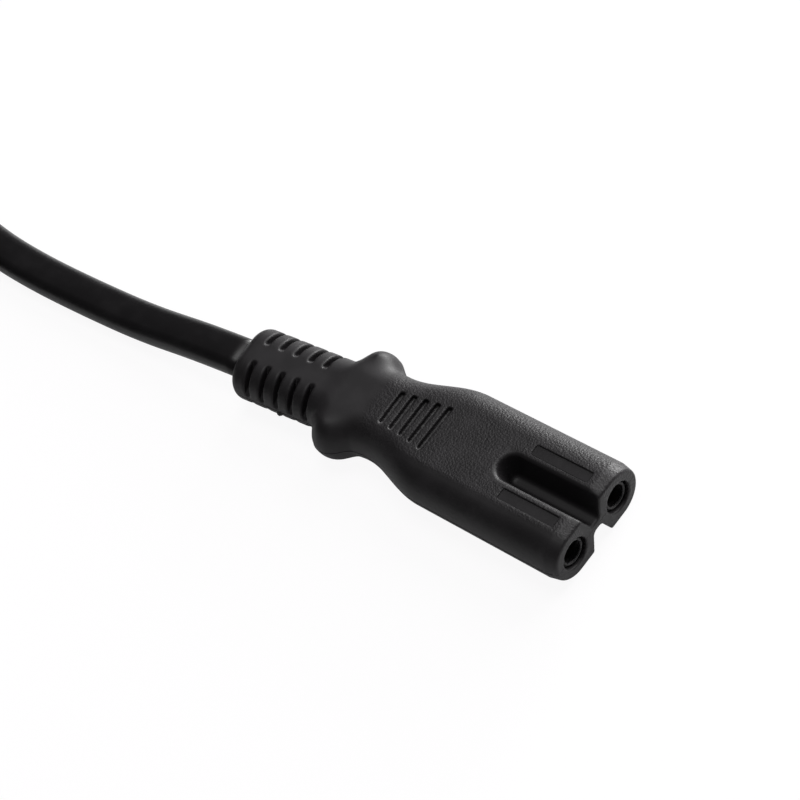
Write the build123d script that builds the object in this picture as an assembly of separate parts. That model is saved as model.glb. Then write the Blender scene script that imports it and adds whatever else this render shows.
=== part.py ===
"""Mains cord: a two-pole figure-eight connector on a flat twin cord, with a flat two-pin plug.

The connector lies on its flat underside on z = 0, with its mating direction along +X.
The cord leaves it towards -X, lies on the same surface and is folded into a tied hank.
The plug on the cord's other end lies on top of that hank. All sizes are millimetres.
"""

import os
from math import asin, cos, degrees, pi, radians, sin

from build123d import *

os.makedirs("parts", exist_ok=True)

# Flat twin cord
CORD_WIDTH = 5.5
CORD_THICKNESS = 3.4
CORE_DIAMETER = 2.3
CORE_PITCH = 2.5
CONDUCTOR_DIAMETER = 1.1

# Clearances
MOULD_GAP = 0.03
CONTACT_GAP = 0.06
REST_GAP = 0.1

# Connector head
POLE_SPACING = 8.6
HEAD_RADIUS = 3.85
FRONT_ROUND = 0.7
CONNECTOR_LENGTH = 55.0
GROOVE_LENGTH = 14.3
GROOVE_FLOOR_HALF_WIDTH = 1.1
GROOVE_DRAFT_DEG = 15.5
GROOVE_LIP = 0.4
WEB_HALF_THICKNESS = 0.6
ENTRY_RADIUS = 2.1
ENTRY_DEPTH = 0.8

# Connector grip, as distances behind the front face, and half widths
GRIP_START = 22.0
WAIST_AT = 33.0
WAIST_HALF_WIDTH = 5.85
SHOULDER_AT = 38.5
SHOULDER_HALF_WIDTH = 7.8
NECK_AT = 41.7
BEND_DEG = 5.0
BAR_COUNT = 5
BAR_FIRST_AT = 23.8
BAR_PITCH = 1.7
BAR_WIDTH = 0.55
BAR_DEPTH = 0.25
BAR_HALF_LENGTH = 3.3
BAR_SHORTER = 0.22

# Boot, the same form on the connector and on the plug
BOOT_HALF_WIDTH = 5.0
BOOT_HALF_HEIGHT = 3.65
BOOT_END_ROUND = 1.3
SLOT_COUNT = 5
SLOT_PITCH = 2.36
SLOT_WIDTH = 1.05
SLOT_DEPTH = 1.25
SLOT_FROM_END = 2.5
SPINE_HALF_WIDTH = 1.15
SIDE_RIB_HALF_HEIGHT = 0.5

# Contact carrier inside the connector
CARRIER_TUBE_RADIUS = 2.75
CARRIER_HOLE_RADIUS = 1.45
CARRIER_LIP = 1.8
CARRIER_BRIDGE_AT = 15.2
CARRIER_BACK_AT = 21.0
PAD_INNER_Y = 2.72
PAD_OUTER_Y = 4.08
PAD_FRONT_AT = 2.45
PAD_BACK_AT = 10.8
PAD_SUNK = 0.12
CHAMBER_RADIUS = 1.75

# Contacts
CONTACT_BORE_RADIUS = 1.2
CONTACT_WALL = 0.3
CONTACT_LENGTH = 11.0
CONTACT_SLIT = 0.5
CRIMP_WALL = 0.3
CRIMP_LENGTH = 4.0
CRIMP_GAP = 1.2
CORE_END_IN_CARRIER = 0.5
SHEATH_END_AT = 34.0

# Plug
PLUG_LENGTH = 44.0
PLUG_HALF_WIDTH = 17.65
PLUG_HALF_HEIGHT = 6.85
PLUG_FRONT_DEPTH = 11.0
PLUG_NECK_DEPTH = 31.0
PLUG_FACE_ROUND = 1.0
PLUG_SLOT_COUNT = 4
PIN_SPACING_AT_FACE = 18.6
PIN_SPACING_AT_TIP = 17.5
PIN_LENGTH = 19.0
PIN_RADIUS = 2.0
PIN_TIP_ROUND = 1.4
PIN_SHANK_RADIUS = 1.35
PIN_TAIL = 9.0
SLEEVE_RADIUS = 1.8
SLEEVE_LENGTH = 10.0
SLEEVE_ROOT = 3.0
BRIDGE_HALF_WIDTH = 13.3
BRIDGE_HALF_HEIGHT = 4.4
BRIDGE_DEPTH = 6.0
SHEATH_END_IN_PLUG = 16.0

# Hank: two turns side by side in two layers, drawn in to a waist at the tie
HANK_RUN = 104.0
HANK_TURNS_WIDE = 2
HANK_LAYERS = 2
TURN_PITCH = 3.6
FOLD_RADIUS = 19.35
HANK_FLARE_DEG = 22.0
WAIST_SLACK = 0.4
HANK_EDGE_ROUND = 1.0
NEAR_FOLD = (-113.0, -19.2)
LEAD_IN_DEG = 10.0
LEAD_IN_LENGTH = 15.0
TOP_STRAND_DEG = 150.0

# Tie
TIE_WIDTH = 3.6
TIE_THICKNESS = 0.8
TIE_CROWN_HALF_WIDTH = 3.2
TIE_CROWN_RISE = 4.5
TIE_STRAND_Y = -17.4
TIE_STALK_LENGTH = 13.0
TIE_STALK_THICKNESS = 1.1
TIE_STALK_TURNS = 1.5
TIE_STALK_SECTIONS = 13
TIE_STALK_Y = -4.6

# The plug on the hank
PLUG_BOOT_AT = (-175.5, -18.8)
PLUG_YAW_DEG = 6.0

# Centre line of the free cord between its straight ends, chosen by hand
STRAIGHT_OUT = 7.5
CORD_ROUTE = [
    (-46.5, -3.5, 2.0),
    (-57.5, -4.05, 1.75),
    (-68.5, -4.35, 1.7),
    (-78.5, -3.9, 1.7),
]
TAIL_ROUTE = [
    (-142.0, -10.2, 12.7),
    (-152.5, -14.4, 12.7),
    (-161.5, -16.8, 13.2),
]

HALF_POLE = POLE_SPACING / 2
HEAD_HALF_WIDTH = HALF_POLE + HEAD_RADIUS
FRONT_X = CONNECTOR_LENGTH / 2
AXIS_Z = HEAD_RADIUS
BEND_RADIUS = (NECK_AT - GRIP_START) / radians(BEND_DEG)
BOOT_LENGTH = CONNECTOR_LENGTH - NECK_AT
CONTACT_FRONT_AT = ENTRY_DEPTH + CARRIER_LIP
CONTACT_OUTER_RADIUS = CONTACT_BORE_RADIUS + CONTACT_WALL
CRIMP_FRONT_AT = CONTACT_FRONT_AT + CONTACT_LENGTH + CRIMP_GAP
CRIMP_RADIUS = CONDUCTOR_DIAMETER / 2 + CONTACT_GAP
CORE_END_AT = CARRIER_BACK_AT - CORE_END_IN_CARRIER
PIN_TILT_DEG = degrees(asin((PIN_SPACING_AT_FACE - PIN_SPACING_AT_TIP) / 2 / PIN_LENGTH))
HANK_HALF_BAND = HANK_TURNS_WIDE * TURN_PITCH / 2
HANK_HEIGHT = HANK_LAYERS * CORD_WIDTH
HANK_CENTRE = (NEAR_FOLD[0] - HANK_RUN / 2, NEAR_FOLD[1])


def blend(t):
    """Smooth step from 0 to 1 with level ends."""
    return (1 - cos(pi * t)) / 2


def station(distance):
    """Section plane of the connector, facing forward, at a distance behind the front face.

    Its own x axis runs to the connector's left and its y axis up. Behind the rigid head
    the grip is bent sideways by a few degrees, and the boot is straight again.
    """
    angle = radians(BEND_DEG) * min(max((distance - GRIP_START) / (NECK_AT - GRIP_START), 0), 1)
    straight = min(distance, GRIP_START)
    x = FRONT_X - straight - BEND_RADIUS * sin(angle)
    y = -BEND_RADIUS * (1 - cos(angle))
    if distance > NECK_AT:
        x -= (distance - NECK_AT) * cos(angle)
        y -= (distance - NECK_AT) * sin(angle)
    left = (-sin(angle), cos(angle), 0)
    return Plane(origin=(x, y, AXIS_Z), x_dir=left, z_dir=(cos(angle), sin(angle), 0))


def oblong(plane, half_width, half_height):
    """Flat-topped section with full round sides."""
    return plane * SlotOverall(2 * half_width, 2 * half_height)


def bar(plane, half_width, half_height, length):
    """Straight bar of that section, which runs forward from the plane."""
    return extrude(oblong(plane, half_width, half_height), amount=length)


def grip_half_width(distance):
    """Half width of the grip: head, waist between the fingers, shoulder, and neck of the boot."""
    knots = [
        (GRIP_START, HEAD_HALF_WIDTH),
        (WAIST_AT, WAIST_HALF_WIDTH),
        (SHOULDER_AT, SHOULDER_HALF_WIDTH),
        (NECK_AT, BOOT_HALF_WIDTH),
    ]
    for (start, width), (end, next_width) in zip(knots, knots[1:]):
        if distance <= end:
            return width + (next_width - width) * blend((distance - start) / (end - start))
    return BOOT_HALF_WIDTH


def grip_half_height(distance):
    """Half height of the grip, level to the shoulder and a little lower at the boot."""
    t = min(max((distance - SHOULDER_AT) / (NECK_AT - SHOULDER_AT), 0), 1)
    return HEAD_RADIUS + (BOOT_HALF_HEIGHT - HEAD_RADIUS) * blend(t)


def grip():
    """Loft through oblong sections on the bent centre line."""
    stops = [(GRIP_START, WAIST_AT, 5), (WAIST_AT, SHOULDER_AT, 3), (SHOULDER_AT, NECK_AT, 4)]
    distances = [GRIP_START]
    for start, end, count in stops:
        distances += [start + (end - start) * k / count for k in range(1, count + 1)]
    sections = [oblong(station(d), grip_half_width(d), grip_half_height(d)) for d in distances]
    return loft(sections)


def head():
    """Straight front of the connector, with its front edge rounded."""
    block = bar(station(GRIP_START), HEAD_HALF_WIDTH, HEAD_RADIUS, GRIP_START)
    return fillet(block.faces().sort_by(Axis.X)[-1].edges(), FRONT_ROUND)


def groove(side):
    """Cutter of the drafted groove between the poles, on the top (1) or the underside (-1)."""
    draft = GROOVE_DRAFT_DEG
    depth = HEAD_RADIUS - WEB_HALF_THICKNESS
    lean = depth * sin(radians(draft)) / cos(radians(draft))
    back = GROOVE_LENGTH - lean - GROOVE_FLOOR_HALF_WIDTH
    ahead = HEAD_RADIUS
    floor = Plane(
        origin=(FRONT_X, 0, AXIS_Z + side * WEB_HALF_THICKNESS),
        x_dir=(1, 0, 0),
        z_dir=(0, 0, side),
    )
    plan = Pos((ahead - back) / 2, 0) * Rectangle(back + ahead, 2 * GROOVE_FLOOR_HALF_WIDTH)
    plan += Pos(-back, 0) * Circle(GROOVE_FLOOR_HALF_WIDTH)
    cut = extrude(floor * plan, amount=2 * depth, taper=-draft)
    lip_plane = Plane(
        origin=(FRONT_X, 0, AXIS_Z + side * (HEAD_RADIUS - GROOVE_LIP)),
        x_dir=(1, 0, 0),
        z_dir=(0, 0, side),
    )
    half = GROOVE_FLOOR_HALF_WIDTH + lean
    lip = Pos((ahead - back) / 2, 0) * Rectangle(back + ahead, 2 * half)
    lip += Pos(-back, 0) * Circle(half)
    return cut + extrude(lip_plane * lip, amount=2 * GROOVE_LIP, taper=-45)


def boot_slots(end_plane, count):
    """Cutters of the strain relief slots, which wrap each quarter of the boot.

    The plane stands at the boot's cord end and faces the housing.
    """
    outer = SlotOverall(4 * BOOT_HALF_WIDTH, 4 * BOOT_HALF_HEIGHT)
    inner = SlotOverall(2 * (BOOT_HALF_WIDTH - SLOT_DEPTH), 2 * (BOOT_HALF_HEIGHT - SLOT_DEPTH))
    keep = Rectangle(2 * SPINE_HALF_WIDTH, 8 * BOOT_HALF_HEIGHT)
    keep += Rectangle(8 * BOOT_HALF_WIDTH, 2 * SIDE_RIB_HALF_HEIGHT)
    ring = outer - inner - keep
    cutters = []
    for k in range(count):
        at = SLOT_FROM_END + k * SLOT_PITCH
        cutters.append(extrude(end_plane * Pos(0, 0, at) * ring, amount=SLOT_WIDTH))
    return cutters


def grip_bars(side):
    """Cutters of the grip grooves across the flat, on the top (1) or the underside (-1)."""
    cutters = []
    for k in range(BAR_COUNT):
        box = Box(2 * (BAR_HALF_LENGTH - k * BAR_SHORTER), 2 * BAR_DEPTH, BAR_WIDTH)
        cutters.append(station(BAR_FIRST_AT + k * BAR_PITCH) * Pos(0, side * HEAD_RADIUS, 0) * box)
    return cutters


def pole_point(distance, pole):
    """Point on a pole's axis at a distance behind the front face."""
    return Vector(FRONT_X - distance, pole * HALF_POLE, AXIS_Z)


def pole_rod(start, end, radius, pole):
    """Round bar on a pole's axis between two distances behind the front face."""
    plane = Plane(origin=pole_point(end, pole), z_dir=(1, 0, 0))
    return extrude(plane * Circle(radius), amount=end - start)


def pads(grow=0.0):
    """Flats of the carrier that show through the head on both sides of the groove."""
    length = PAD_BACK_AT - PAD_FRONT_AT + 2 * grow
    width = PAD_OUTER_Y - PAD_INNER_Y + 2 * grow
    height = 2 * (HEAD_RADIUS - PAD_SUNK) if grow == 0 else 3 * HEAD_RADIUS
    middle_x = FRONT_X - (PAD_FRONT_AT + PAD_BACK_AT) / 2
    middle_y = (PAD_INNER_Y + PAD_OUTER_Y) / 2
    return [Pos(middle_x, s * middle_y, AXIS_Z) * Box(length, width, height) for s in (1, -1)]


def carrier_form(grow=0.0):
    """Outer form of the contact carrier: two tubes joined by a bridge behind the groove."""
    radius = CARRIER_TUBE_RADIUS + grow
    tubes = [pole_rod(ENTRY_DEPTH, CARRIER_BACK_AT, radius, pole) for pole in (1, -1)]
    back = Plane(origin=(FRONT_X - CARRIER_BACK_AT, 0, AXIS_Z), x_dir=(0, 1, 0), z_dir=(1, 0, 0))
    depth = CARRIER_BACK_AT - CARRIER_BRIDGE_AT + grow
    bridge = extrude(back * Rectangle(POLE_SPACING, 2 * radius), amount=depth)
    form = tubes[0] + tubes[1] + bridge
    for pad in pads(grow):
        form += pad
    return form


def contact_carrier():
    """Rigid carrier with a cavity for each contact."""
    part = carrier_form()
    for pole in (1, -1):
        part -= pole_rod(0, CARRIER_BACK_AT, CARRIER_HOLE_RADIUS, pole)
        cavity = CONTACT_OUTER_RADIUS + CONTACT_GAP
        part -= pole_rod(CONTACT_FRONT_AT - CONTACT_GAP, CARRIER_BRIDGE_AT, cavity, pole)
        part -= pole_rod(CARRIER_BRIDGE_AT, CARRIER_BACK_AT + 1, CHAMBER_RADIUS, pole)
    return part


def contact(pole):
    """Brass socket, slit along its top, with a crimp barrel on a neck behind it."""
    socket_end = CONTACT_FRONT_AT + CONTACT_LENGTH
    crimp_end = CRIMP_FRONT_AT + CRIMP_LENGTH
    crimp_outer = CRIMP_RADIUS + CRIMP_WALL
    neck_depth = CONTACT_OUTER_RADIUS - CRIMP_RADIUS
    part = pole_rod(CONTACT_FRONT_AT, socket_end, CONTACT_OUTER_RADIUS, pole)
    part -= pole_rod(0, CARRIER_BACK_AT, CONTACT_BORE_RADIUS, pole)
    slit_at = pole_point(CONTACT_FRONT_AT, pole) + Vector(0, 0, CONTACT_BORE_RADIUS)
    slit_length = 2 * (CONTACT_LENGTH - CONTACT_WALL)
    part -= Pos(slit_at) * Box(slit_length, CONTACT_SLIT, CONTACT_OUTER_RADIUS)
    cup = pole_rod(socket_end, socket_end + CRIMP_WALL, CONTACT_OUTER_RADIUS, pole)
    neck_at = pole_point((socket_end + crimp_end) / 2, pole) - Vector(0, 0, CRIMP_RADIUS + CRIMP_WALL / 2)
    neck = Pos(neck_at) * Box(crimp_end - socket_end, neck_depth, CRIMP_WALL)
    barrel = pole_rod(CRIMP_FRONT_AT, crimp_end, crimp_outer, pole)
    part += cup + neck + barrel
    return part - pole_rod(CRIMP_FRONT_AT - 1, CARRIER_BACK_AT, CRIMP_RADIUS, pole)


def conductor(pole):
    """Bare end of a conductor, held in the contact's barrel."""
    return pole_rod(CRIMP_FRONT_AT + CONTACT_GAP, CORE_END_AT, CONDUCTOR_DIAMETER / 2, pole)


def boot_axis_point(distance, left=0.0):
    """Point beside the straight line that the cord follows through the boot."""
    plane = station(CONNECTOR_LENGTH)
    return plane.origin + plane.z_dir * (CONNECTOR_LENGTH - distance) + plane.x_dir * left


def round_tube(points, radii, radius):
    """Round bar along straight runs joined by arcs."""
    path = FilletPolyline(*points, radius=radii)
    start = Plane(origin=points[0], z_dir=Vector(*points[1]) - Vector(*points[0]))
    return sweep(start * Circle(radius), path=path)


def core(pole, grow=0.0):
    """Insulated core between the cord's sheath and the contact of one pole."""
    lead = 3.0
    points = [
        pole_point(CORE_END_AT, pole),
        pole_point(CORE_END_AT + lead, pole),
        boot_axis_point(SHEATH_END_AT - lead, pole * CORE_PITCH / 2),
        boot_axis_point(SHEATH_END_AT, pole * CORE_PITCH / 2),
    ]
    return round_tube(points, arc_radii(points), CORE_DIAMETER / 2 + grow)


def arc_radii(points):
    """Radius of the arc at each corner: as large as the two runs beside it allow."""
    points = [Vector(*p) for p in points]
    radii = []
    for a, b, c in zip(points, points[1:], points[2:]):
        turn = radians((b - a).get_angle(c - b))
        shorter = min((b - a).length, (c - b).length)
        radii.append(0.45 * shorter * cos(turn / 2) / sin(turn / 2))
    return radii


def across(at, along):
    """Section plane of the flat cord at a point, with its x axis level and its y axis up."""
    return Plane(origin=at, x_dir=Vector(0, 0, 1).cross(along), z_dir=along)


def flat_section(grow=0.0):
    """Section of the flat cord."""
    return SlotOverall(CORD_WIDTH + 2 * grow, CORD_THICKNESS + 2 * grow)


def flat_tube(points):
    """Flat cord along straight runs joined by arcs, with its path and the radii of the arcs."""
    radii = arc_radii(points)
    path = FilletPolyline(*points, radius=radii)
    start = across(points[0], Vector(*points[1]) - Vector(*points[0]))
    return sweep(start * flat_section(), path=path), path, radii


def sheath(start, end, grow=0.0):
    """Straight stretch of the sheath between two points on its axis."""
    along = end - start
    return extrude(across(start, along) * flat_section(grow), amount=along.length)


def connector_body():
    """Soft overmoulding in one piece: head, grip, shoulder and slotted boot."""
    end = station(CONNECTOR_LENGTH)
    boot = bar(end, BOOT_HALF_WIDTH, BOOT_HALF_HEIGHT, BOOT_LENGTH)
    boot = fillet(boot.faces().sort_by(Axis.X)[0].edges(), BOOT_END_ROUND)
    part = head() + grip() + boot
    for side in (1, -1):
        part -= groove(side)
        part -= grip_bars(side)
    part -= boot_slots(end, SLOT_COUNT)
    part -= carrier_form(MOULD_GAP)
    for pole in (1, -1):
        part -= pole_rod(-1, CARRIER_BRIDGE_AT, ENTRY_RADIUS, pole)
        part -= core(pole, MOULD_GAP)
    inside = boot_axis_point(SHEATH_END_AT)
    outside = boot_axis_point(CONNECTOR_LENGTH + BOOT_END_ROUND)
    return part - sheath(inside, outside, MOULD_GAP)


def hank_outline(outward):
    """Face inside the hank's loop, moved outward from the middle of its band.

    Each end is a fold of more than half a turn. Straight flanks and wide arcs bring the
    two sides together at the waist.
    """
    flare = radians(HANK_FLARE_DEG)
    half = HANK_RUN / 2
    waist = HANK_HALF_BAND + WAIST_SLACK
    gain = half - FOLD_RADIUS * sin(flare)
    drop = FOLD_RADIUS * cos(flare) - waist
    arc = (drop * cos(flare) - gain * sin(flare)) / ((1 - cos(flare)) * cos(flare) - sin(flare) ** 2)
    flank = (gain - arc * sin(flare)) / cos(flare)
    turn = HANK_FLARE_DEG
    fold = 180 + 2 * turn
    steps = [
        (arc - outward, turn),
        flank,
        (FOLD_RADIUS + outward, -fold),
        flank,
        (arc - outward, turn),
    ]
    at = Vector(0, waist + outward)
    heading = Vector(1, 0)
    edges = []
    for step in steps + steps:
        if isinstance(step, tuple):
            radius, angle = step
            edge = JernArc(start=at, tangent=heading, radius=radius, arc_size=angle)
            heading = heading.rotate(Axis.Z, angle)
        else:
            edge = Line(at, at + heading * step)
        edges.append(edge)
        at = edge @ 1
    return make_face(edges)


def fold_point(radius, degrees_round):
    """Point on the fold nearest the connector, by its angle from the +X direction."""
    angle = radians(degrees_round)
    return Vector(NEAR_FOLD[0] + radius * cos(angle), NEAR_FOLD[1] + radius * sin(angle), 0)


def lead_in():
    """Start point, direction and end of the run where the cord joins the hank's outer turn."""
    outer_turn = FOLD_RADIUS + (HANK_TURNS_WIDE - 1) * TURN_PITCH / 2
    touch = fold_point(outer_turn, 90 - LEAD_IN_DEG)
    back = Vector(cos(radians(LEAD_IN_DEG)), -sin(radians(LEAD_IN_DEG)), 0)
    touch += Vector(0, 0, CORD_THICKNESS / 2)
    return touch + back * LEAD_IN_LENGTH, -back, touch


def tail_start():
    """Where the top strand leaves the hank, and its direction."""
    angle = 90 + HANK_FLARE_DEG
    at = fold_point(FOLD_RADIUS, angle) + Vector(0, 0, HANK_HEIGHT + CORD_THICKNESS / 2)
    return at, Vector(-sin(radians(angle)), cos(radians(angle)), 0)


def hank():
    """Outer shape of the folded cord, with the run that joins it and the strand on its top."""
    band = hank_outline(HANK_HALF_BAND) - hank_outline(-HANK_HALF_BAND)
    block = extrude(Pos(*HANK_CENTRE, 0) * band, amount=HANK_HEIGHT)
    rims = block.edges().filter_by_position(Axis.Z, HANK_HEIGHT - 0.01, HANK_HEIGHT + 0.01)
    block = fillet(rims, HANK_EDGE_ROUND)
    start, _, touch = lead_in()
    block += sheath(start, touch)
    end, along = tail_start()
    foot = Rectangle(CORD_WIDTH - CORD_THICKNESS, CORD_THICKNESS)
    strand = flat_section() + Pos(0, -CORD_THICKNESS / 2) * foot
    block += revolve(across(end, along) * strand, Axis((*NEAR_FOLD, 0), (0, 0, 1)), -TOP_STRAND_DEG)
    seat = Box(TIE_WIDTH + REST_GAP, 8 * HANK_HALF_BAND, 2 * (TIE_THICKNESS + REST_GAP))
    return block - Pos(*HANK_CENTRE, 0) * seat


def tie():
    """Flat wire tie round the hank's waist and the strand on top, its ends twisted together."""
    half = 2 * HANK_HALF_BAND + WAIST_SLACK + REST_GAP
    shoulder = HANK_HEIGHT + REST_GAP
    crown = shoulder + TIE_CROWN_RISE
    strand_y = TIE_STRAND_Y - HANK_CENTRE[1]
    inner = [
        (-half, TIE_THICKNESS),
        (half, TIE_THICKNESS),
        (half, shoulder),
        (strand_y + TIE_CROWN_HALF_WIDTH, crown),
        (strand_y - TIE_CROWN_HALF_WIDTH, crown),
        (-half, shoulder),
    ]
    near = Vector(HANK_CENTRE[0] - TIE_WIDTH / 2, HANK_CENTRE[1], 0)
    plane = Plane(origin=near, x_dir=(0, 1, 0), z_dir=(1, 0, 0))
    hole = make_face(Polyline(*inner, close=True))
    band = offset(hole, amount=TIE_THICKNESS, kind=Kind.ARC) - hole
    loop = extrude(plane * band, amount=TIE_WIDTH)
    return loop + tie_stalk(shoulder)


def tie_stalk(shoulder):
    """Twisted ends of the tie, laid along the top of the hank."""
    sections = []
    base = Vector(HANK_CENTRE[0], HANK_CENTRE[1] + TIE_STALK_Y, shoulder + TIE_WIDTH / 2)
    for k in range(TIE_STALK_SECTIONS):
        share = k / (TIE_STALK_SECTIONS - 1)
        at = base + Vector(share * TIE_STALK_LENGTH, 0, 0)
        plane = Plane(origin=at, x_dir=(0, 1, 0), z_dir=(1, 0, 0))
        turned = Rot(0, 0, 180 * TIE_STALK_TURNS * share) * Rectangle(TIE_WIDTH, TIE_STALK_THICKNESS)
        sections.append(plane * turned)
    return loft(sections, ruled=True)


def plug_half_width(depth):
    """Half width of the plug by its depth behind the pin face."""
    t = min(max((depth - PLUG_FRONT_DEPTH) / (PLUG_NECK_DEPTH - PLUG_FRONT_DEPTH), 0), 1)
    return PLUG_HALF_WIDTH + (BOOT_HALF_WIDTH - PLUG_HALF_WIDTH) * blend(t)


def plug_half_height(depth):
    """Half height of the plug by its depth behind the pin face."""
    t = min(max((depth - PLUG_FRONT_DEPTH) / (PLUG_NECK_DEPTH - PLUG_FRONT_DEPTH), 0), 1)
    return PLUG_HALF_HEIGHT + (BOOT_HALF_HEIGHT - PLUG_HALF_HEIGHT) * blend(t)


PLUG_SECTIONS = 8
PLUG_TAPER = PLUG_NECK_DEPTH - PLUG_FRONT_DEPTH
PLUG_DEPTHS = [PLUG_FRONT_DEPTH + PLUG_TAPER * k / PLUG_SECTIONS for k in range(PLUG_SECTIONS + 1)]
PLUG_PITCH_DEG = degrees(
    max(asin((plug_half_height(d) - BOOT_HALF_HEIGHT) / (PLUG_LENGTH - d)) for d in PLUG_DEPTHS[:-1])
)
PLUG_FRAME = (
    Pos(*PLUG_BOOT_AT, HANK_HEIGHT + BOOT_HALF_HEIGHT + REST_GAP)
    * Rot(0, 0, 180 + PLUG_YAW_DEG)
    * Rot(0, -PLUG_PITCH_DEG, 0)
)


def plug_plane(depth, left=0.0, tilt=0.0):
    """Plane in the plug's own frame, which faces the way the pins point."""
    forward = (cos(radians(tilt)), sin(radians(tilt)), 0)
    return Plane(origin=(PLUG_LENGTH - depth, left, 0), x_dir=(-forward[1], forward[0], 0), z_dir=forward)


def pin_plane(pole, beyond=0.0):
    """Plane across a pin, at a distance beyond the plug's face. The pins lean together."""
    tilt = -pole * PIN_TILT_DEG
    face = plug_plane(0, pole * PIN_SPACING_AT_FACE / 2, tilt)
    return Plane(origin=face.origin + face.z_dir * beyond, x_dir=face.x_dir, z_dir=face.z_dir)


def pin_rod(pole, start, end, radius):
    """Round bar on a pin's axis, between two distances beyond the plug's face."""
    return extrude(pin_plane(pole, start) * Circle(radius), amount=end - start)


def plug_bridge_form(grow=0.0):
    """Outer form of the bridge that holds the pins, flush with the face."""
    depth = BRIDGE_DEPTH + grow
    return bar(plug_plane(depth), BRIDGE_HALF_WIDTH + grow, BRIDGE_HALF_HEIGHT + grow, depth)


def plug_bridge():
    """Rigid bridge with stepped holes for the pins and the roots of their sleeves."""
    part = plug_bridge_form()
    for pole in (1, -1):
        part -= pin_rod(pole, -SLEEVE_ROOT - MOULD_GAP, 1, SLEEVE_RADIUS + MOULD_GAP)
        part -= pin_rod(pole, -BRIDGE_DEPTH - 1, 0, PIN_SHANK_RADIUS + MOULD_GAP)
    return part


def plug_pin(pole):
    """Turned pin: round-nosed contact end, thinner sleeved shank and drilled tail."""
    nose = pin_rod(pole, SLEEVE_LENGTH, PIN_LENGTH, PIN_RADIUS)
    tip = nose.faces().sort_by(Axis.X)[-1].edges()
    nose = fillet(tip, PIN_TIP_ROUND)
    shank = pin_rod(pole, -PIN_TAIL, SLEEVE_LENGTH, PIN_SHANK_RADIUS)
    drilled = pin_rod(pole, -PIN_TAIL - 1, -PIN_TAIL + CRIMP_LENGTH, CRIMP_RADIUS)
    return nose + shank - drilled


def pin_sleeve(pole):
    """Insulating sleeve on the root of a pin."""
    tube = pin_rod(pole, -SLEEVE_ROOT, SLEEVE_LENGTH - MOULD_GAP, SLEEVE_RADIUS)
    return tube - pin_rod(pole, -SLEEVE_ROOT - 1, SLEEVE_LENGTH + 1, PIN_SHANK_RADIUS + MOULD_GAP)


def plug_conductor(pole):
    """Bare end of a conductor in a pin's tail."""
    return pin_rod(pole, -PIN_TAIL - 2, -PIN_TAIL + CRIMP_LENGTH - CONTACT_GAP, CONDUCTOR_DIAMETER / 2)


def plug_core(pole, grow=0.0):
    """Insulated core between the cord's sheath and a pin."""
    lead = 3.0
    start = pin_plane(pole, -PIN_TAIL - 2)
    ahead = pin_plane(pole, -PIN_TAIL - 2 - lead)
    points = [
        start.origin,
        ahead.origin,
        Vector(SHEATH_END_IN_PLUG + lead, pole * CORE_PITCH / 2, 0),
        Vector(SHEATH_END_IN_PLUG, pole * CORE_PITCH / 2, 0),
    ]
    return round_tube(points, arc_radii(points), CORE_DIAMETER / 2 + grow)


def plug_body():
    """Soft overmoulding of the plug, which tapers to a slotted boot."""
    end = plug_plane(PLUG_LENGTH)
    front = bar(plug_plane(PLUG_FRONT_DEPTH), PLUG_HALF_WIDTH, PLUG_HALF_HEIGHT, PLUG_FRONT_DEPTH)
    front = fillet(front.faces().sort_by(Axis.X)[-1].edges(), PLUG_FACE_ROUND)
    taper = loft([oblong(plug_plane(d), plug_half_width(d), plug_half_height(d)) for d in PLUG_DEPTHS])
    boot = bar(end, BOOT_HALF_WIDTH, BOOT_HALF_HEIGHT, PLUG_LENGTH - PLUG_NECK_DEPTH)
    boot = fillet(boot.faces().sort_by(Axis.X)[0].edges(), BOOT_END_ROUND)
    part = front + taper + boot
    part -= boot_slots(end, PLUG_SLOT_COUNT)
    part -= plug_bridge_form(MOULD_GAP)
    for pole in (1, -1):
        part -= pin_rod(pole, -PIN_TAIL - MOULD_GAP, 0, PIN_SHANK_RADIUS + MOULD_GAP)
        part -= pin_rod(pole, -PIN_TAIL - 2, 0, CONDUCTOR_DIAMETER / 2 + MOULD_GAP)
        part -= plug_core(pole, MOULD_GAP)
    return part - sheath(Vector(-BOOT_END_ROUND, 0, 0), Vector(SHEATH_END_IN_PLUG, 0, 0), MOULD_GAP)


def on_plug_axis(forward):
    """Point on the plug's axis, by its distance from the end of the plug's boot."""
    return (PLUG_FRAME * Pos(forward, 0, 0)).position


def cord_points():
    """Route of the cord from the connector's boot to the run that joins the hank."""
    exit_point = boot_axis_point(CONNECTOR_LENGTH)
    straight_out = boot_axis_point(CONNECTOR_LENGTH + STRAIGHT_OUT)
    join, along, _ = lead_in()
    return [exit_point, straight_out, *CORD_ROUTE, join - along * STRAIGHT_OUT, join]


def tail_points():
    """Route of the cord from the top of the hank to the plug's boot."""
    start, along = tail_start()
    return [start, start + along * STRAIGHT_OUT, *TAIL_ROUTE, on_plug_axis(-STRAIGHT_OUT), on_plug_axis(0)]


def save(name, shape):
    """Write one node."""
    shape.label = name
    export_step(shape, f"parts/{name}.step")


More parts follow.
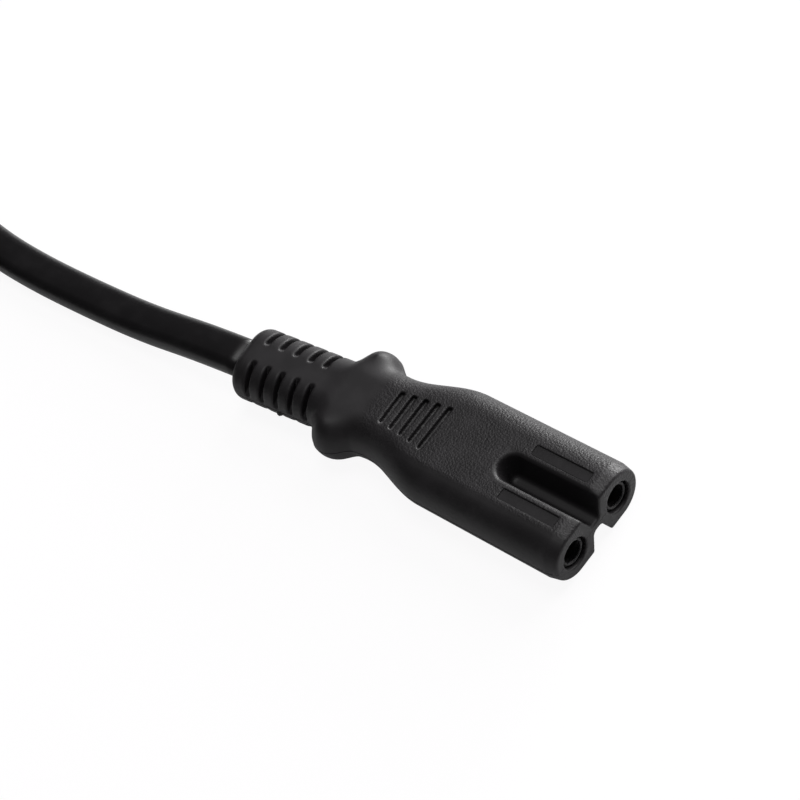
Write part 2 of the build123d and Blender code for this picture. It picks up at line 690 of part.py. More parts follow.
def main():
    """Build every node and report the arcs of the cord."""
    save("connector_body", connector_body())
    save("contact_carrier", contact_carrier())
    save("plug_body", PLUG_FRAME * plug_body())
    save("plug_bridge", PLUG_FRAME * plug_bridge())
    for side, pole in (("left", 1), ("right", -1)):
        save(f"contact_{side}", contact(pole))
        save(f"conductor_{side}", conductor(pole))
        save(f"core_{side}", core(pole))
        save(f"plug_pin_{side}", PLUG_FRAME * plug_pin(pole))
        save(f"pin_sleeve_{side}", PLUG_FRAME * pin_sleeve(pole))
        save(f"plug_conductor_{side}", PLUG_FRAME * plug_conductor(pole))
        save(f"plug_core_{side}", PLUG_FRAME * plug_core(pole))
    boot_end = boot_axis_point(CONNECTOR_LENGTH)
    save("sheath_in_boot", sheath(boot_axis_point(SHEATH_END_AT), boot_end))
    save("sheath_in_plug", sheath(on_plug_axis(SHEATH_END_IN_PLUG), on_plug_axis(0)))
    save("cord_hank", hank())
    save("hank_tie", tie())
    for name, points in (("cord", cord_points()), ("cord_tail", tail_points())):
        body, path, radii = flat_tube(points)
        print(name, "arc radii", [round(r, 1) for r in radii], "length", round(path.length, 1))
        print(name, "volume", round(body.volume, 1), "of", round(flat_section().area * path.length, 1))
        print(name, "points", [tuple(round(v, 2) for v in Vector(*p)) for p in points])
        save(name, body)
    for pole in (1, -1):
        pin = PLUG_FRAME * Location(pin_plane(pole, SLEEVE_LENGTH))
        way = Plane(pin).z_dir
        print("pin", pole, "starts at", [round(v, 3) for v in pin.position])
        print("pin", pole, "points along", [round(v, 5) for v in way])


main()
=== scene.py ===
"""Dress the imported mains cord: connector, flat twin cord, tied hank and plug, in a plain studio.

The connector and the plug are soft mouldings with rounded edges everywhere. Each is measured
by a distance rule in its own lengthwise frame and skinned from it. The cord is one spline
from the connector's boot round every turn of the hank to the plug.
"""

from __future__ import annotations

import logging
from abc import ABC, abstractmethod
from dataclasses import dataclass, field
from enum import Enum
from math import asin, atan2, cos, degrees, radians, sin, tan, tau
from typing import ClassVar, Sequence

import bpy
import numpy as np
from bpy.types import Material, Object
from mathutils import Matrix, Vector


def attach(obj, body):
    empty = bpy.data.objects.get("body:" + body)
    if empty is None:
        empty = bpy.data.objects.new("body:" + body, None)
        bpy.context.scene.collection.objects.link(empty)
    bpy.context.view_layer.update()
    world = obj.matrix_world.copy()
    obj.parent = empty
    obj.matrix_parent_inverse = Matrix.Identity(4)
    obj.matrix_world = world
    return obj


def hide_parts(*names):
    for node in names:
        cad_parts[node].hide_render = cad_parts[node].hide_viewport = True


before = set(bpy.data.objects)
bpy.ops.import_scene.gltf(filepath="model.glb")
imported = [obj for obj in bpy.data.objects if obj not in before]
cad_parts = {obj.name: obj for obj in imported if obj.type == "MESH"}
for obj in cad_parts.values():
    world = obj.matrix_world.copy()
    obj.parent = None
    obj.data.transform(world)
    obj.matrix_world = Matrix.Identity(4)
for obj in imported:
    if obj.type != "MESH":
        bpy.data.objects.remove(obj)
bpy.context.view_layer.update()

LOG = logging.getLogger("mains cord")
MM = 0.001
Triple = tuple[float, float, float]
Array = np.ndarray


class Side(Enum):
    """The two poles, by the side of the middle that they stand on."""

    LEFT = 1
    RIGHT = -1


class Facing(Enum):
    """How the flat cord lies: on its wide face, or on its narrow edge."""

    FLAT = 0.0
    ON_EDGE = 90.0


# ---- shader values


class Value:
    """One value in a node tree, on which arithmetic adds Math nodes."""

    def __init__(self, tree: NodeMaker, socket: bpy.types.NodeSocket) -> None:
        """Wrap an output of one of the tree's nodes."""
        self.tree = tree
        self.socket = socket

    def _math(self, operation: str, first: Value | float, second: Value | float) -> Value:
        """Result of a Math node."""
        return self.tree.add("ShaderNodeMath", {"operation": operation}, {0: first, 1: second})

    def __add__(self, other: Value | float) -> Value:
        """Sum."""
        return self._math("ADD", self, other)

    __radd__ = __add__

    def __sub__(self, other: Value | float) -> Value:
        """Difference."""
        return self._math("SUBTRACT", self, other)

    def __rsub__(self, other: float) -> Value:
        """Difference from a number."""
        return self._math("SUBTRACT", other, self)

    def __mul__(self, other: Value | float) -> Value:
        """Product."""
        return self._math("MULTIPLY", self, other)

    __rmul__ = __mul__

    def __abs__(self) -> Value:
        """Size without its sign."""
        return self._math("ABSOLUTE", self, 0.0)

    def step(self, low: float, high: float) -> Value:
        """Smooth step between two numbers.

        Args:
            low: where the result is 0.
            high: where the result is 1.

        Returns:
            A value from 0 to 1.
        """
        settings = {"interpolation_type": "SMOOTHSTEP"}
        if low < high:
            return self.tree.add("ShaderNodeMapRange", settings, {0: self, 1: low, 2: high})
        return 1 - self.tree.add("ShaderNodeMapRange", settings, {0: self, 1: high, 2: low})


class NodeMaker:
    """Adds nodes to one tree."""

    def __init__(self, tree: bpy.types.NodeTree) -> None:
        """Start with an empty tree."""
        self.nodes = tree.nodes
        self.links = tree.links
        self.nodes.clear()

    def node(self, kind: str, settings: dict | None = None, inputs: dict | None = None) -> bpy.types.Node:
        """Add any node.

        Args:
            kind: the node's type.
            settings: its own settings, which are set first.
            inputs: values or links, by socket name or number.

        Returns:
            The node.
        """
        made = self.nodes.new(kind)
        for key, value in (settings or {}).items():
            setattr(made, key, value)
        for key, value in (inputs or {}).items():
            if isinstance(value, Value):
                self.links.new(value.socket, made.inputs[key])
            else:
                made.inputs[key].default_value = value
        return made

    def add(self, kind: str, settings: dict | None = None, inputs: dict | None = None, out: int | str = 0) -> Value:
        """Add a node and take one of its results, by name or number."""
        return Value(self, self.node(kind, settings, inputs).outputs[out])


class Recipe(NodeMaker):
    """A material's node tree under construction."""

    def __init__(self, name: str) -> None:
        """Start an empty material."""
        self.material = bpy.data.materials.new(name)
        self.material.use_nodes = True
        super().__init__(self.material.node_tree)

    def place(self) -> tuple[Value, Value, Value, Value]:
        """Position on the piece, and its X, Y and Z, in millimetres."""
        at = self.add("ShaderNodeTexCoord", out="Object")
        scaled = self.add("ShaderNodeVectorMath", {"operation": "SCALE"}, {0: at, "Scale": 1 / MM})
        split = self.node("ShaderNodeSeparateXYZ", None, {0: scaled})
        return scaled, *[Value(self, split.outputs[k]) for k in range(3)]

    def noise(self, at: Value, scale: float, detail: float = 2.0) -> Value:
        """Noise per millimetre, from 0 to 1."""
        return self.add("ShaderNodeTexNoise", None, {"Vector": at, "Scale": scale, "Detail": detail})

    def pebbles(self, at: Value, size: float) -> Value:
        """Height of a leather grain's rounded pebbles, 1 on their tops, from their width in millimetres."""
        settings = {"feature": "SMOOTH_F1"}
        cells = self.add("ShaderNodeTexVoronoi", settings, {"Vector": at, "Scale": 1 / size, "Smoothness": 0.4})
        return 1 - cells

    def blend(self, share: Value, first: Sequence[float], second: Sequence[float]) -> Value:
        """Mix two colours by a share."""
        return self.add("ShaderNodeMix", {"data_type": "RGBA"}, {0: share, 6: (*first, 1), 7: (*second, 1)}, 2)

    def bump(self, height: Value, distance: float) -> Value:
        """Normal of a relief, from its height and what a height of 1 measures in millimetres."""
        return self.add("ShaderNodeBump", None, {"Height": height, "Distance": distance * MM, "Strength": 1.0})

    def finish(self, **inputs: Value | float | Sequence[float]) -> Material:
        """Close the tree with a surface shader.

        Args:
            inputs: the shader's sockets, with _ for a space.

        Returns:
            The material.
        """
        named = {key.replace("_", " "): value for key, value in inputs.items()}
        shader = self.add("ShaderNodeBsdfPrincipled", None, named)
        self.node("ShaderNodeOutputMaterial", None, {0: shader})
        return self.material


class ShapeRule(NodeMaker):
    """A tree of Geometry Nodes under construction, with named sizes."""

    def __init__(self, name: str, sizes: dict[str, float]) -> None:
        """Start a tree.

        Args:
            name: the rule's name.
            sizes: its named inputs, with their values in metres, turns or counts.
        """
        self.tree = bpy.data.node_groups.new(name, "GeometryNodeTree")
        super().__init__(self.tree)
        self.sizes = sizes
        self.tree.interface.new_socket("Geometry", in_out="INPUT", socket_type="NodeSocketGeometry")
        for label in sizes:
            self.tree.interface.new_socket(label, in_out="INPUT", socket_type="NodeSocketFloat")
        self.tree.interface.new_socket("Geometry", in_out="OUTPUT", socket_type="NodeSocketGeometry")
        self.start = self.node("NodeGroupInput")

    def given(self, label: str = "Geometry") -> Value:
        """One of the tree's inputs."""
        return Value(self, self.start.outputs[label])

    def path(self) -> Value:
        """Curves along the chains that the tree is given."""
        return self.add("GeometryNodeMeshToCurve", None, {"Mesh": self.given()})

    def sweep(self, path: Value, profile: Value, look: Material) -> None:
        """End the tree with a profile swept along a path.

        Args:
            path: the path's curve.
            profile: the profile's curve.
            look: the swept surface's material.
        """
        ends = {"Curve": path, "Profile Curve": profile, "Fill Caps": True}
        swept = self.add("GeometryNodeCurveToMesh", None, ends)
        whole = self.add("GeometryNodeRealizeInstances", None, {"Geometry": swept})
        smooth = self.add("GeometryNodeSetShadeSmooth", None, {"Geometry": whole})
        dressed = self.add("GeometryNodeSetMaterial", None, {"Geometry": smooth, "Material": look})
        self.node("NodeGroupOutput", None, {0: dressed})

    def grow(self, name: str, points: Array, chains: Sequence[Sequence[int]]) -> Object:
        """Run the tree on chains of points and keep the result as a plain mesh.

        Args:
            name: the piece's name.
            points: places in metres.
            chains: point numbers along each path.

        Returns:
            The piece, at the origin.
        """
        edges = [pair for chain in chains for pair in zip(chain, chain[1:])]
        base = bpy.data.meshes.new(name)
        base.from_pydata([tuple(p) for p in points], edges, [])
        guide = bpy.data.objects.new(name + "_guide", base)
        bpy.context.scene.collection.objects.link(guide)
        modifier = guide.modifiers.new("rule", "NODES")
        modifier.node_group = self.tree
        for item in self.tree.interface.items_tree:
            if item.in_out == "INPUT" and item.name in self.sizes:
                modifier[item.identifier] = self.sizes[item.name]
        bpy.context.view_layer.update()
        graph = bpy.context.evaluated_depsgraph_get()
        mesh = bpy.data.meshes.new_from_object(guide.evaluated_get(graph), depsgraph=graph)
        guide.modifiers.remove(modifier)
        bpy.data.objects.remove(guide)
        bpy.data.meshes.remove(base)
        piece = bpy.data.objects.new(name, mesh)
        bpy.context.scene.collection.objects.link(piece)
        return piece


# ---- finishes


@dataclass(frozen=True)
class SoftMoulding:
    """Black soft PVC from a mould whose cavity is partly grained."""

    name: str = "soft moulding"
    dark: Triple = (0.0072, 0.0063, 0.0072)
    worn: Triple = (0.0125, 0.0112, 0.0125)
    gloss: float = 0.27
    grain: float = 0.27
    depth: float = 0.065
    grain_back: float = -5.6
    grain_side: float = -4.4
    groove_back: float = 13.4
    groove_half: float = 2.3
    pad_rims: tuple[float, float] = (2.69, -4.11)
    pad_ends: tuple[float, float] = (16.5, 25.2)
    axis_z: float = 3.85
    rough: float = 0.49
    patchy: float = 0.08
    grained_sheen: float = 0.05
    rim_dulling: float = 0.45

    def material(self) -> Material:
        """Leather grain on the head's top and far side, plain satin elsewhere, with painted shade on the groove's
        walls.

        Returns:
            The material.
        """
        mix = Recipe(self.name)
        at, x, y, z = mix.place()
        grained = x.step(self.grain_back - 1.2, self.grain_back + 0.6) * y.step(self.grain_side - 0.8, self.grain_side)
        grained = grained * z.step(self.axis_z - 2.5, self.axis_z - 1.5)
        # Mask of the groove's walls: left smooth, and also held at the dark colour as painted shade
        walls = abs(y).step(self.groove_half + 0.35, self.groove_half - 0.35)
        walls = walls * x.step(self.groove_back, self.groove_back + 1.0)
        grained = grained * (1 - walls)
        pebbles = mix.pebbles(at, self.grain) * 0.7 + mix.noise(at, 3.2, 3.0) * 0.5
        fine = mix.noise(at, 9.0, 2.0)
        seam = abs(z - self.axis_z).step(0.09, 0.02)
        height = pebbles * grained + fine * 0.1 + seam * 0.8
        patches = mix.noise(at, 0.25, 3.0)
        # Lighter patches everywhere except on the groove's walls, which keep the dark colour as painted shade in the
        # groove
        colour = mix.blend(patches.step(0.35, 0.75) * (1 - walls), self.dark, self.worn)
        back, front = self.pad_ends
        rims = [abs(y - rim).step(0.2, 0.12) for rim in self.pad_rims]
        dulled = (rims[0] + rims[1]) * x.step(back, back + 0.1) * x.step(front + 0.1, front)
        rough = self.rough + patches * self.patchy - grained * self.grained_sheen + dulled * self.rim_dulling
        return mix.finish(
            Base_Color=colour, Roughness=rough, Normal=mix.bump(height, self.depth), Specular_IOR_Level=self.gloss
        )


@dataclass(frozen=True)
class PlugMoulding:
    """The same soft PVC in a plain mould, with its parting seam."""

    name: str = "plug moulding"
    dark: Triple = (0.0085, 0.0085, 0.0095)
    worn: Triple = (0.014, 0.014, 0.015)
    grain: float = 0.3

    def material(self) -> Material:
        """Satin black with a light grain.

        Returns:
            The material.
        """
        mix = Recipe(self.name)
        at, _, _, _ = mix.place()
        patches = mix.noise(at, 0.2, 3.0)
        height = mix.pebbles(at, self.grain) * 0.4 + mix.noise(at, 8.0) * 0.3
        colour = mix.blend(patches.step(0.35, 0.75), self.dark, self.worn)
        relief = mix.bump(height, 0.02)
        return mix.finish(Base_Color=colour, Roughness=0.42 + patches * 0.12, Normal=relief, Specular_IOR_Level=0.16)


@dataclass(frozen=True)
class Sheath:
    """Extruded sheath of the flat cord."""

    name: str = "cord sheath"
    dark: Triple = (0.0045, 0.004, 0.0045)
    scuffed: Triple = (0.0075, 0.0068, 0.0075)

    def material(self) -> Material:
        """Satin black, with faint draw lines along the cord.

        Returns:
            The material.
        """
        mix = Recipe(self.name)
        at, _, _, _ = mix.place()
        run = mix.add("ShaderNodeUVMap", {"uv_map": "run"})
        stretched = mix.add("ShaderNodeVectorMath", {"operation": "MULTIPLY"}, {0: run, 1: (0.15, 60.0, 1.0)})
        lines = mix.noise(stretched, 1.0, 2.0)
        patches = mix.noise(at, 0.3, 3.0)
        height = lines * 0.7 + mix.noise(at, 6.0) * 0.3
        colour = mix.blend(patches.step(0.4, 0.8), self.dark, self.scuffed)
        relief = mix.bump(height, 0.012)
        return mix.finish(Base_Color=colour, Roughness=0.3 + patches * 0.08, Normal=relief, Specular_IOR_Level=0.22)


@dataclass(frozen=True)
class PlainPlastic:
    """Smooth plastic with soft clouds in its colour and its sheen."""

    name: str
    dark: Triple
    light: Triple
    clouds: float = 0.8
    rough: float = 0.3
    spread: float = 0.1
    gloss: float = 0.5
    fine: float = 5.0
    relief: float = 0.0

    def material(self) -> Material:
        """Clouded surface, over a fine relief where the plastic has one.

        Returns:
            The material.
        """
        mix = Recipe(self.name)
        at, _, _, _ = mix.place()
        cloud = mix.noise(at, self.clouds)
        normal = {"Normal": mix.bump(mix.noise(at, self.fine), self.relief)} if self.relief else {}
        colour = mix.blend(cloud, self.dark, self.light)
        rough = self.rough + cloud * self.spread
        return mix.finish(Base_Color=colour, Roughness=rough, Specular_IOR_Level=self.gloss, **normal)


@dataclass(frozen=True)
class TurnedMetal:
    """Drawn or turned metal, with fine marks round its axis and a slight tarnish."""

    name: str
    bright: Triple
    dull: Triple
    roughness: float = 0.22

    def material(self) -> Material:
        """Metal with fine lines along X.

        Returns:
            The material.
        """
        mix = Recipe(self.name)
        at, _, _, _ = mix.place()
        drawn = mix.add("ShaderNodeVectorMath", {"operation": "MULTIPLY"}, {0: at, 1: (14.0, 1.2, 1.2)})
        lines = mix.noise(drawn, 1.0, 3.0)
        cloud = mix.noise(at, 0.5, 3.0)
        colour = mix.blend(cloud.step(0.35, 0.8), self.bright, self.dull)
        return mix.finish(
            Base_Color=colour,
            Metallic=1.0,
            Roughness=self.roughness + lines * 0.12 + cloud * 0.06,
            Normal=mix.bump(lines, 0.0015),
        )


@dataclass(frozen=True)
class StudioFloor:
    """Matt white sweep that the camera sees as nearly pure white."""

    name: str = "studio floor"
    shade: Triple = (0.9, 0.9, 0.905)
    glow: float = 0.93
    mirrored: float = 0.2

    def material(self) -> Material:
        """White that keeps a soft shadow.

        Returns:
            The material.
        """
        mix = Recipe(self.name)
        seen = mix.node("ShaderNodeLightPath")
        base = mix.add("ShaderNodeBsdfPrincipled", None, {"Base Color": (*self.shade, 1), "Roughness": 0.9})
        white = mix.add("ShaderNodeEmission", None, {"Color": (1.0, 0.995, 1.0, 1), "Strength": 1.0})
        rays = [Value(mix, seen.outputs[f"Is {ray} Ray"]) for ray in ("Camera", "Glossy", "Transmission")]
        share = rays[0] * self.glow + (rays[1] + rays[2]) * self.mirrored
        mixed = mix.add("ShaderNodeMixShader", None, {0: share, 1: base, 2: white})
        mix.node("ShaderNodeOutputMaterial", None, {0: mixed})
        return mix.material


# ---- meshes


def piece_from(name: str, points: Array, faces: Sequence[Sequence[int]], look: Material) -> Object:
    """Make a smooth-shaded piece.

    Args:
        name: the piece's name.
        points: its vertices in metres.
        faces: its faces, by vertex number.
        look: its material.

    Returns:
        The object, at the origin.
    """
    mesh = bpy.data.meshes.new(name)
    mesh.from_pydata([tuple(p) for p in points], [], [tuple(f) for f in faces])
    mesh.shade_smooth()
    mesh.materials.append(look)
    mesh.update()
    piece = bpy.data.objects.new(name, mesh)
    bpy.context.scene.collection.objects.link(piece)
    return piece


def meet(first: Array, second: Array, radius: float) -> Array:
    """What two distance fields have in common, with the edge between them rounded."""
    corner = np.hypot(np.maximum(first + radius, 0), np.maximum(second + radius, 0))
    return np.minimum(np.maximum(first, second), -radius) + corner


def carve(body: Array, cut: Array, radius: float) -> Array:
    """A body without a cut, its rim rounded."""
    return meet(body, -cut, radius)


def join(first: Array, second: Array, radius: float) -> Array:
    """Two bodies as one, with the corner between them filled."""
    return -meet(-first, -second, radius)


def blend(share: Array) -> Array:
    """Smooth step from 0 to 1 with level ends."""
    return (1 - np.cos(np.pi * np.clip(share, 0, 1))) / 2


def oblong(lateral: Array, up: Array, half: Array | float, radius: Array | float) -> Array:
    """Distance to a bar with round sides, from its half width and its half height."""
    return np.hypot(np.maximum(lateral - (half - radius), 0), up) - radius


@dataclass(frozen=True)
class SlottedBoot:
    """Strain relief boot: an oblong bar with slots that wrap each quarter of it."""

    half_width: float = 5.0
    half_height: float = 3.65
    end_round: float = 1.3
    slots: int = 5
    pitch: float = 2.36
    slot_width: float = 0.75
    slot_depth: float = 1.2
    from_end: float = 2.65
    spine: float = 1.3
    side_rib: float = 0.5
    run_out: float = 1.2
    edge: float = 0.3
    floor_edge: float = 0.15
    first_share: float = 0.2

    def cut(self, surface: Array, ahead: Array, left: Array, up: Array) -> Array:
        """Distance to the slots.

        Args:
            surface: distance to the boot's surface.
            ahead: distance from the boot's cord end.
            left: offset to the left of the axis.
            up: offset above the axis.

        Returns:
            The distance field of all slots.
        """
        shifted = ahead - self.from_end - self.slot_width / 2
        nearest = np.clip(np.round(shifted / self.pitch), 0, self.slots - 1)
        lengthwise = np.abs(shifted - nearest * self.pitch) - self.slot_width / 2
        quarter = meet(self.spine - np.abs(left), self.side_rib - np.abs(up), self.edge)
        slot = meet(lengthwise, quarter, self.edge)
        reach = np.minimum(np.abs(left) - self.spine, np.abs(up) - self.side_rib)
        depth = self.slot_depth * blend(self.first_share + reach / self.run_out)
        return meet(slot, -(surface + depth), self.floor_edge)


class Moulding(ABC):
    """A soft moulding, skinned from its distance rule."""

    probe: ClassVar[float] = 0.02
    rounds: ClassVar[int] = 3
    flattest: ClassVar[float] = 0.2
    reach: ClassVar[float] = 0.4
    step: float
    low: Triple
    high: Triple

    @abstractmethod
    def distance(self, points: Array) -> Array:
        """Distance from the surface, below zero inside.

        Args:
            points: positions in millimetres, with x, y and z last.

        Returns:
            One distance a position.
        """

    def slope(self, points: Array) -> Array:
        """Gradient of the distance at some positions."""
        shifts = self.probe * np.eye(3)
        parts = [self.distance(points + shift) - self.distance(points - shift) for shift in shifts]
        return np.stack(parts, -1) / (2 * self.probe)

    def skin(self) -> tuple[Array, Array]:
        """Net of quads over the zero surface, one vertex for each cell that it crosses.

        Returns:
            Vertices in millimetres, and faces.
        """
        low = np.array(self.low)
        counts = np.ceil((np.array(self.high) - low) / self.step).astype(int) + 1
        axes = [low[k] + self.step * np.arange(counts[k]) for k in range(3)]
        values = self.distance(np.stack(np.meshgrid(*axes, indexing="ij"), -1))
        cells = counts - 1
        strides = np.array([cells[1] * cells[2], cells[2], 1])
        total = np.zeros((int(cells.prod()), 3))
        hits = np.zeros(int(cells.prod()))
        quads = []
        for axis in range(3):
            others = [k for k in range(3) if k != axis]
            turned = np.moveaxis(values, axis, 0)
            crossed = (turned[:-1] < 0) != (turned[1:] < 0)
            at = np.argwhere(crossed[:, 1:-1, 1:-1]) + (0, 1, 1)
            before = turned[at[:, 0], at[:, 1], at[:, 2]]
            after = turned[at[:, 0] + 1, at[:, 1], at[:, 2]]
            spot = np.zeros((len(at), 3))
            spot[:, axis] = at[:, 0] + before / (before - after)
            spot[:, others] = at[:, 1:]
            ring = []
            for back in ((-1, -1), (0, -1), (0, 0), (-1, 0)):
                cell = np.zeros((len(at), 3), int)
                cell[:, axis] = at[:, 0]
                cell[:, others] = at[:, 1:] + back
                number = cell @ strides
                ring.append(number)
                for k in range(3):
                    total[:, k] += np.bincount(number, spot[:, k], len(total))
                hits += np.bincount(number, minlength=len(hits))
            quad = np.stack(ring, -1)
            inward = (before > 0) != (axis == 1)
            quad[inward] = quad[inward][:, ::-1]
            quads.append(quad)
        used = hits > 0
        renumber = np.cumsum(used) - 1
        points = low + self.step * total[used] / hits[used][:, None]
        farthest = self.reach * self.step
        for _ in range(self.rounds):
            slope = self.slope(points)
            size = np.maximum((slope**2).sum(-1), self.flattest)
            move = (self.distance(points) / size)[:, None] * slope
            points -= np.clip(move, -farthest, farthest)
        return points, renumber[np.concatenate(quads)]


@dataclass
class ConnectorMoulding(Moulding):
    """Head with its groove, grip with bars, shoulder and slotted boot, all in one."""

    length: float = 55.0
    pole_spacing: float = 8.6
    head_radius: float = 3.85
    front_round: float = 0.3
    front_taper: float = 1.6
    front_drop: float = 0.34
    groove_length: float = 13.7
    groove_floor: float = 0.75
    groove_draft: float = 20.0
    groove_lip: float = 0.25
    web: float = 0.6
    entry_radius: float = 2.1
    entry_depth: float = 0.8
    grip_start: float = 22.0
    waist_from: float = 32.4
    waist: float = 5.85
    base_from: float = 37.7
    shoulder_at: float = 38.5
    shoulder: float = 7.8
    lobe_far: tuple[float, float] = (37.1, 2.1)
    lobe_near: tuple[float, float] = (37.9, 2.7)
    lobe_base: float = 6.4
    lobe_fillet: float = 1.4
    boot_from: float = 40.7
    neck_at: float = 41.7
    bend: float = 5.0
    bars: int = 5
    bar_first: float = 23.8
    bar_pitch: float = 1.7
    bar_width: float = 0.75
    bar_depth: float = 0.6
    bar_half_length: float = 3.3
    bar_shorter: float = 0.22
    tube_radius: float = 2.78
    bridge_at: float = 15.17
    carrier_back: float = 21.03
    pad_inner: float = 2.69
    pad_outer: float = 4.11
    pad_front: float = 2.42
    pad_back: float = 10.83
    nub: Triple = (46.95, -5.0, -0.35)
    nub_radius: float = 0.38
    edge: float = 0.2
    entry_edge: float = 0.22
    bar_edge: float = 0.12
    bar_corner: float = 0.25
    pad_edge: float = 0.09
    crease: float = 0.05
    seat_edge: float = 0.02
    floor_fillet: float = 0.45
    slot_end: float = 0.1
    entry_over: float = 0.1
    link_inside: float = -0.2
    boot: SlottedBoot = field(default_factory=SlottedBoot)
    step: float = 0.21
    low: Triple = (-28.4, -9.3, -0.5)
    high: Triple = (28.1, 8.9, 8.2)

    def bend_radius(self) -> float:
        """Radius of the bend in the centre line."""
        return (self.neck_at - self.grip_start) / radians(self.bend)

    def straighten(self, points: Array) -> tuple[Array, Array, Array]:
        """Place along the bent centre line.

        Args:
            points: positions in millimetres.

        Returns:
            Distance behind the front face, offset to the left, and height above the axis.
        """
        x, y, up = points[..., 0], points[..., 1], points[..., 2] - self.head_radius
        behind = self.length / 2 - x
        turn, radius = radians(self.bend), self.bend_radius()
        reach = behind - self.grip_start
        angle = np.clip(np.arctan2(reach, y + radius), 0, turn)
        on_arc = (angle > 0) & (angle < turn)
        past = angle >= turn
        after = reach * cos(turn) - y * sin(turn) - radius * sin(turn)
        off_end = reach * sin(turn) + (y + radius) * cos(turn) - radius
        along = np.where(on_arc, self.grip_start + radius * angle, behind)
        along = np.where(past, self.neck_at + after, along)
        left = np.where(on_arc, np.hypot(reach, y + radius) - radius, y)
        return along, np.where(past, off_end, left), up

    def bent(self, along: float, left: float) -> tuple[float, float]:
        """Place on the plan of a point beside the bent centre line.

        Args:
            along: distance behind the front face.
            left: offset to the left of the centre line.

        Returns:
            Its x and y.
        """
        radius = self.bend_radius()
        turn = min(max(along - self.grip_start, 0.0) / radius, radians(self.bend))
        straight = along - min(max(along, self.grip_start), self.neck_at)
        x = self.length / 2 - self.grip_start - (radius + left) * sin(turn) - straight * cos(turn)
        return x, (radius + left) * cos(turn) - radius - straight * sin(turn)

    def plan(self, along: Array, left: Array) -> Array:
        """Distance from the outline at half height: tapered front, waist, round lobe and neck.

        Args:
            along: distance behind the front face.
            left: offset to the left of the centre line.

        Returns:
            One distance a position.
        """
        head = self.pole_spacing / 2 + self.head_radius
        knots = [(self.grip_start, head), (self.waist_from, self.waist), (self.base_from, self.lobe_base)]
        knots.append((self.boot_from, self.boot.half_width))
        width = np.full_like(along, head)
        for (start, wide), (end, wide_next) in zip(knots, knots[1:]):
            share = blend((along - start) / (end - start))
            width = np.where(along > start, wide + (wide_next - wide) * share, width)
        width = width - self.front_drop * np.clip(1 - along / self.front_taper, 0, 1)
        lateral = np.abs(left)
        at = np.where(left > 0, self.lobe_far[0], self.lobe_near[0])
        radius = np.where(left > 0, self.lobe_far[1], self.lobe_near[1])
        lobe = np.hypot(along - at, lateral - (self.shoulder - radius)) - radius
        return join(lateral - width, lobe, self.lobe_fillet)

    def outline(self, along: float, side: Side) -> float:
        """Half width on one side, found from the plan's distance rule."""
        reach = np.linspace(self.boot.half_width - 1, self.head_radius + self.pole_spacing, 800)
        inside = self.plan(np.full_like(reach, along), side.value * reach) < 0
        return float(reach[inside].max())

    def groove(self, along: Array, left: Array, up: Array) -> Array:
        """Distance to the two drafted grooves between the poles."""
        lean = tan(radians(self.groove_draft))
        height = np.abs(up)
        half = self.groove_floor + np.maximum(height - self.web, 0) * lean
        half = half + np.maximum(height - (self.head_radius - self.groove_lip), 0) * (1 - lean)
        full = self.groove_floor + (self.head_radius - self.web) * lean
        back = self.groove_length - full
        plan = np.hypot(np.maximum(along - back, 0), left) - half
        return meet(plan, self.web - height, self.floor_fillet)

    def distance(self, points: Array) -> Array:
        """Distance from the connector's surface."""
        along, left, up = self.straighten(points)
        lateral, height = np.abs(left), np.abs(up)
        shoulder_share = blend((along - self.shoulder_at) / (self.neck_at - self.shoulder_at))
        tall = self.head_radius + (self.boot.half_height - self.head_radius) * shoulder_share
        tall = tall - self.front_drop * np.clip(1 - along / self.front_taper, 0, 1)
        side = oblong(self.plan(along, left), up, 0.0, tall)
        body = meet(side, -along, self.front_round)
        body = meet(body, along - self.length, self.boot.end_round)
        from_nub = np.linalg.norm(np.stack([along, left, up], -1) - self.nub, axis=-1)
        body = join(body, from_nub - self.nub_radius, self.edge)
        slots = meet(self.boot.cut(side, self.length - along, left, up), self.boot_from - along, self.slot_end)
        body = carve(body, slots, self.edge)
        body = carve(body, self.groove(along, left, up), self.edge)
        which = np.clip(np.round((along - self.bar_first) / self.bar_pitch), 0, self.bars - 1)
        lengthwise = np.abs(along - self.bar_first - which * self.bar_pitch) - self.bar_width / 2
        across = lateral - (self.bar_half_length - which * self.bar_shorter)
        bar = np.maximum(meet(lengthwise, across, self.bar_corner), tall - self.bar_depth - height)
        body = carve(body, bar, self.bar_edge)
        pole = np.hypot(lateral - self.pole_spacing / 2, up)
        entry = meet(pole - self.entry_radius, along - self.entry_depth - self.entry_over, self.crease)
        body = carve(body, entry, self.entry_edge)
        tube_ends = np.maximum(self.entry_depth - along, along - self.carrier_back)
        body = carve(body, meet(pole - self.tube_radius, tube_ends, self.crease), self.seat_edge)
        link = np.maximum(height - self.tube_radius, lateral - self.pole_spacing / 2)
        link = np.maximum(np.maximum(link, 0), np.maximum(self.bridge_at - along, along - self.carrier_back))
        body = carve(body, np.where(link > 0, link, self.link_inside), self.seat_edge)
        window = np.maximum(self.pad_inner - lateral, lateral - self.pad_outer)
        window = meet(window, np.maximum(self.pad_front - along, along - self.pad_back), self.crease)
        return carve(body, window, self.pad_edge)


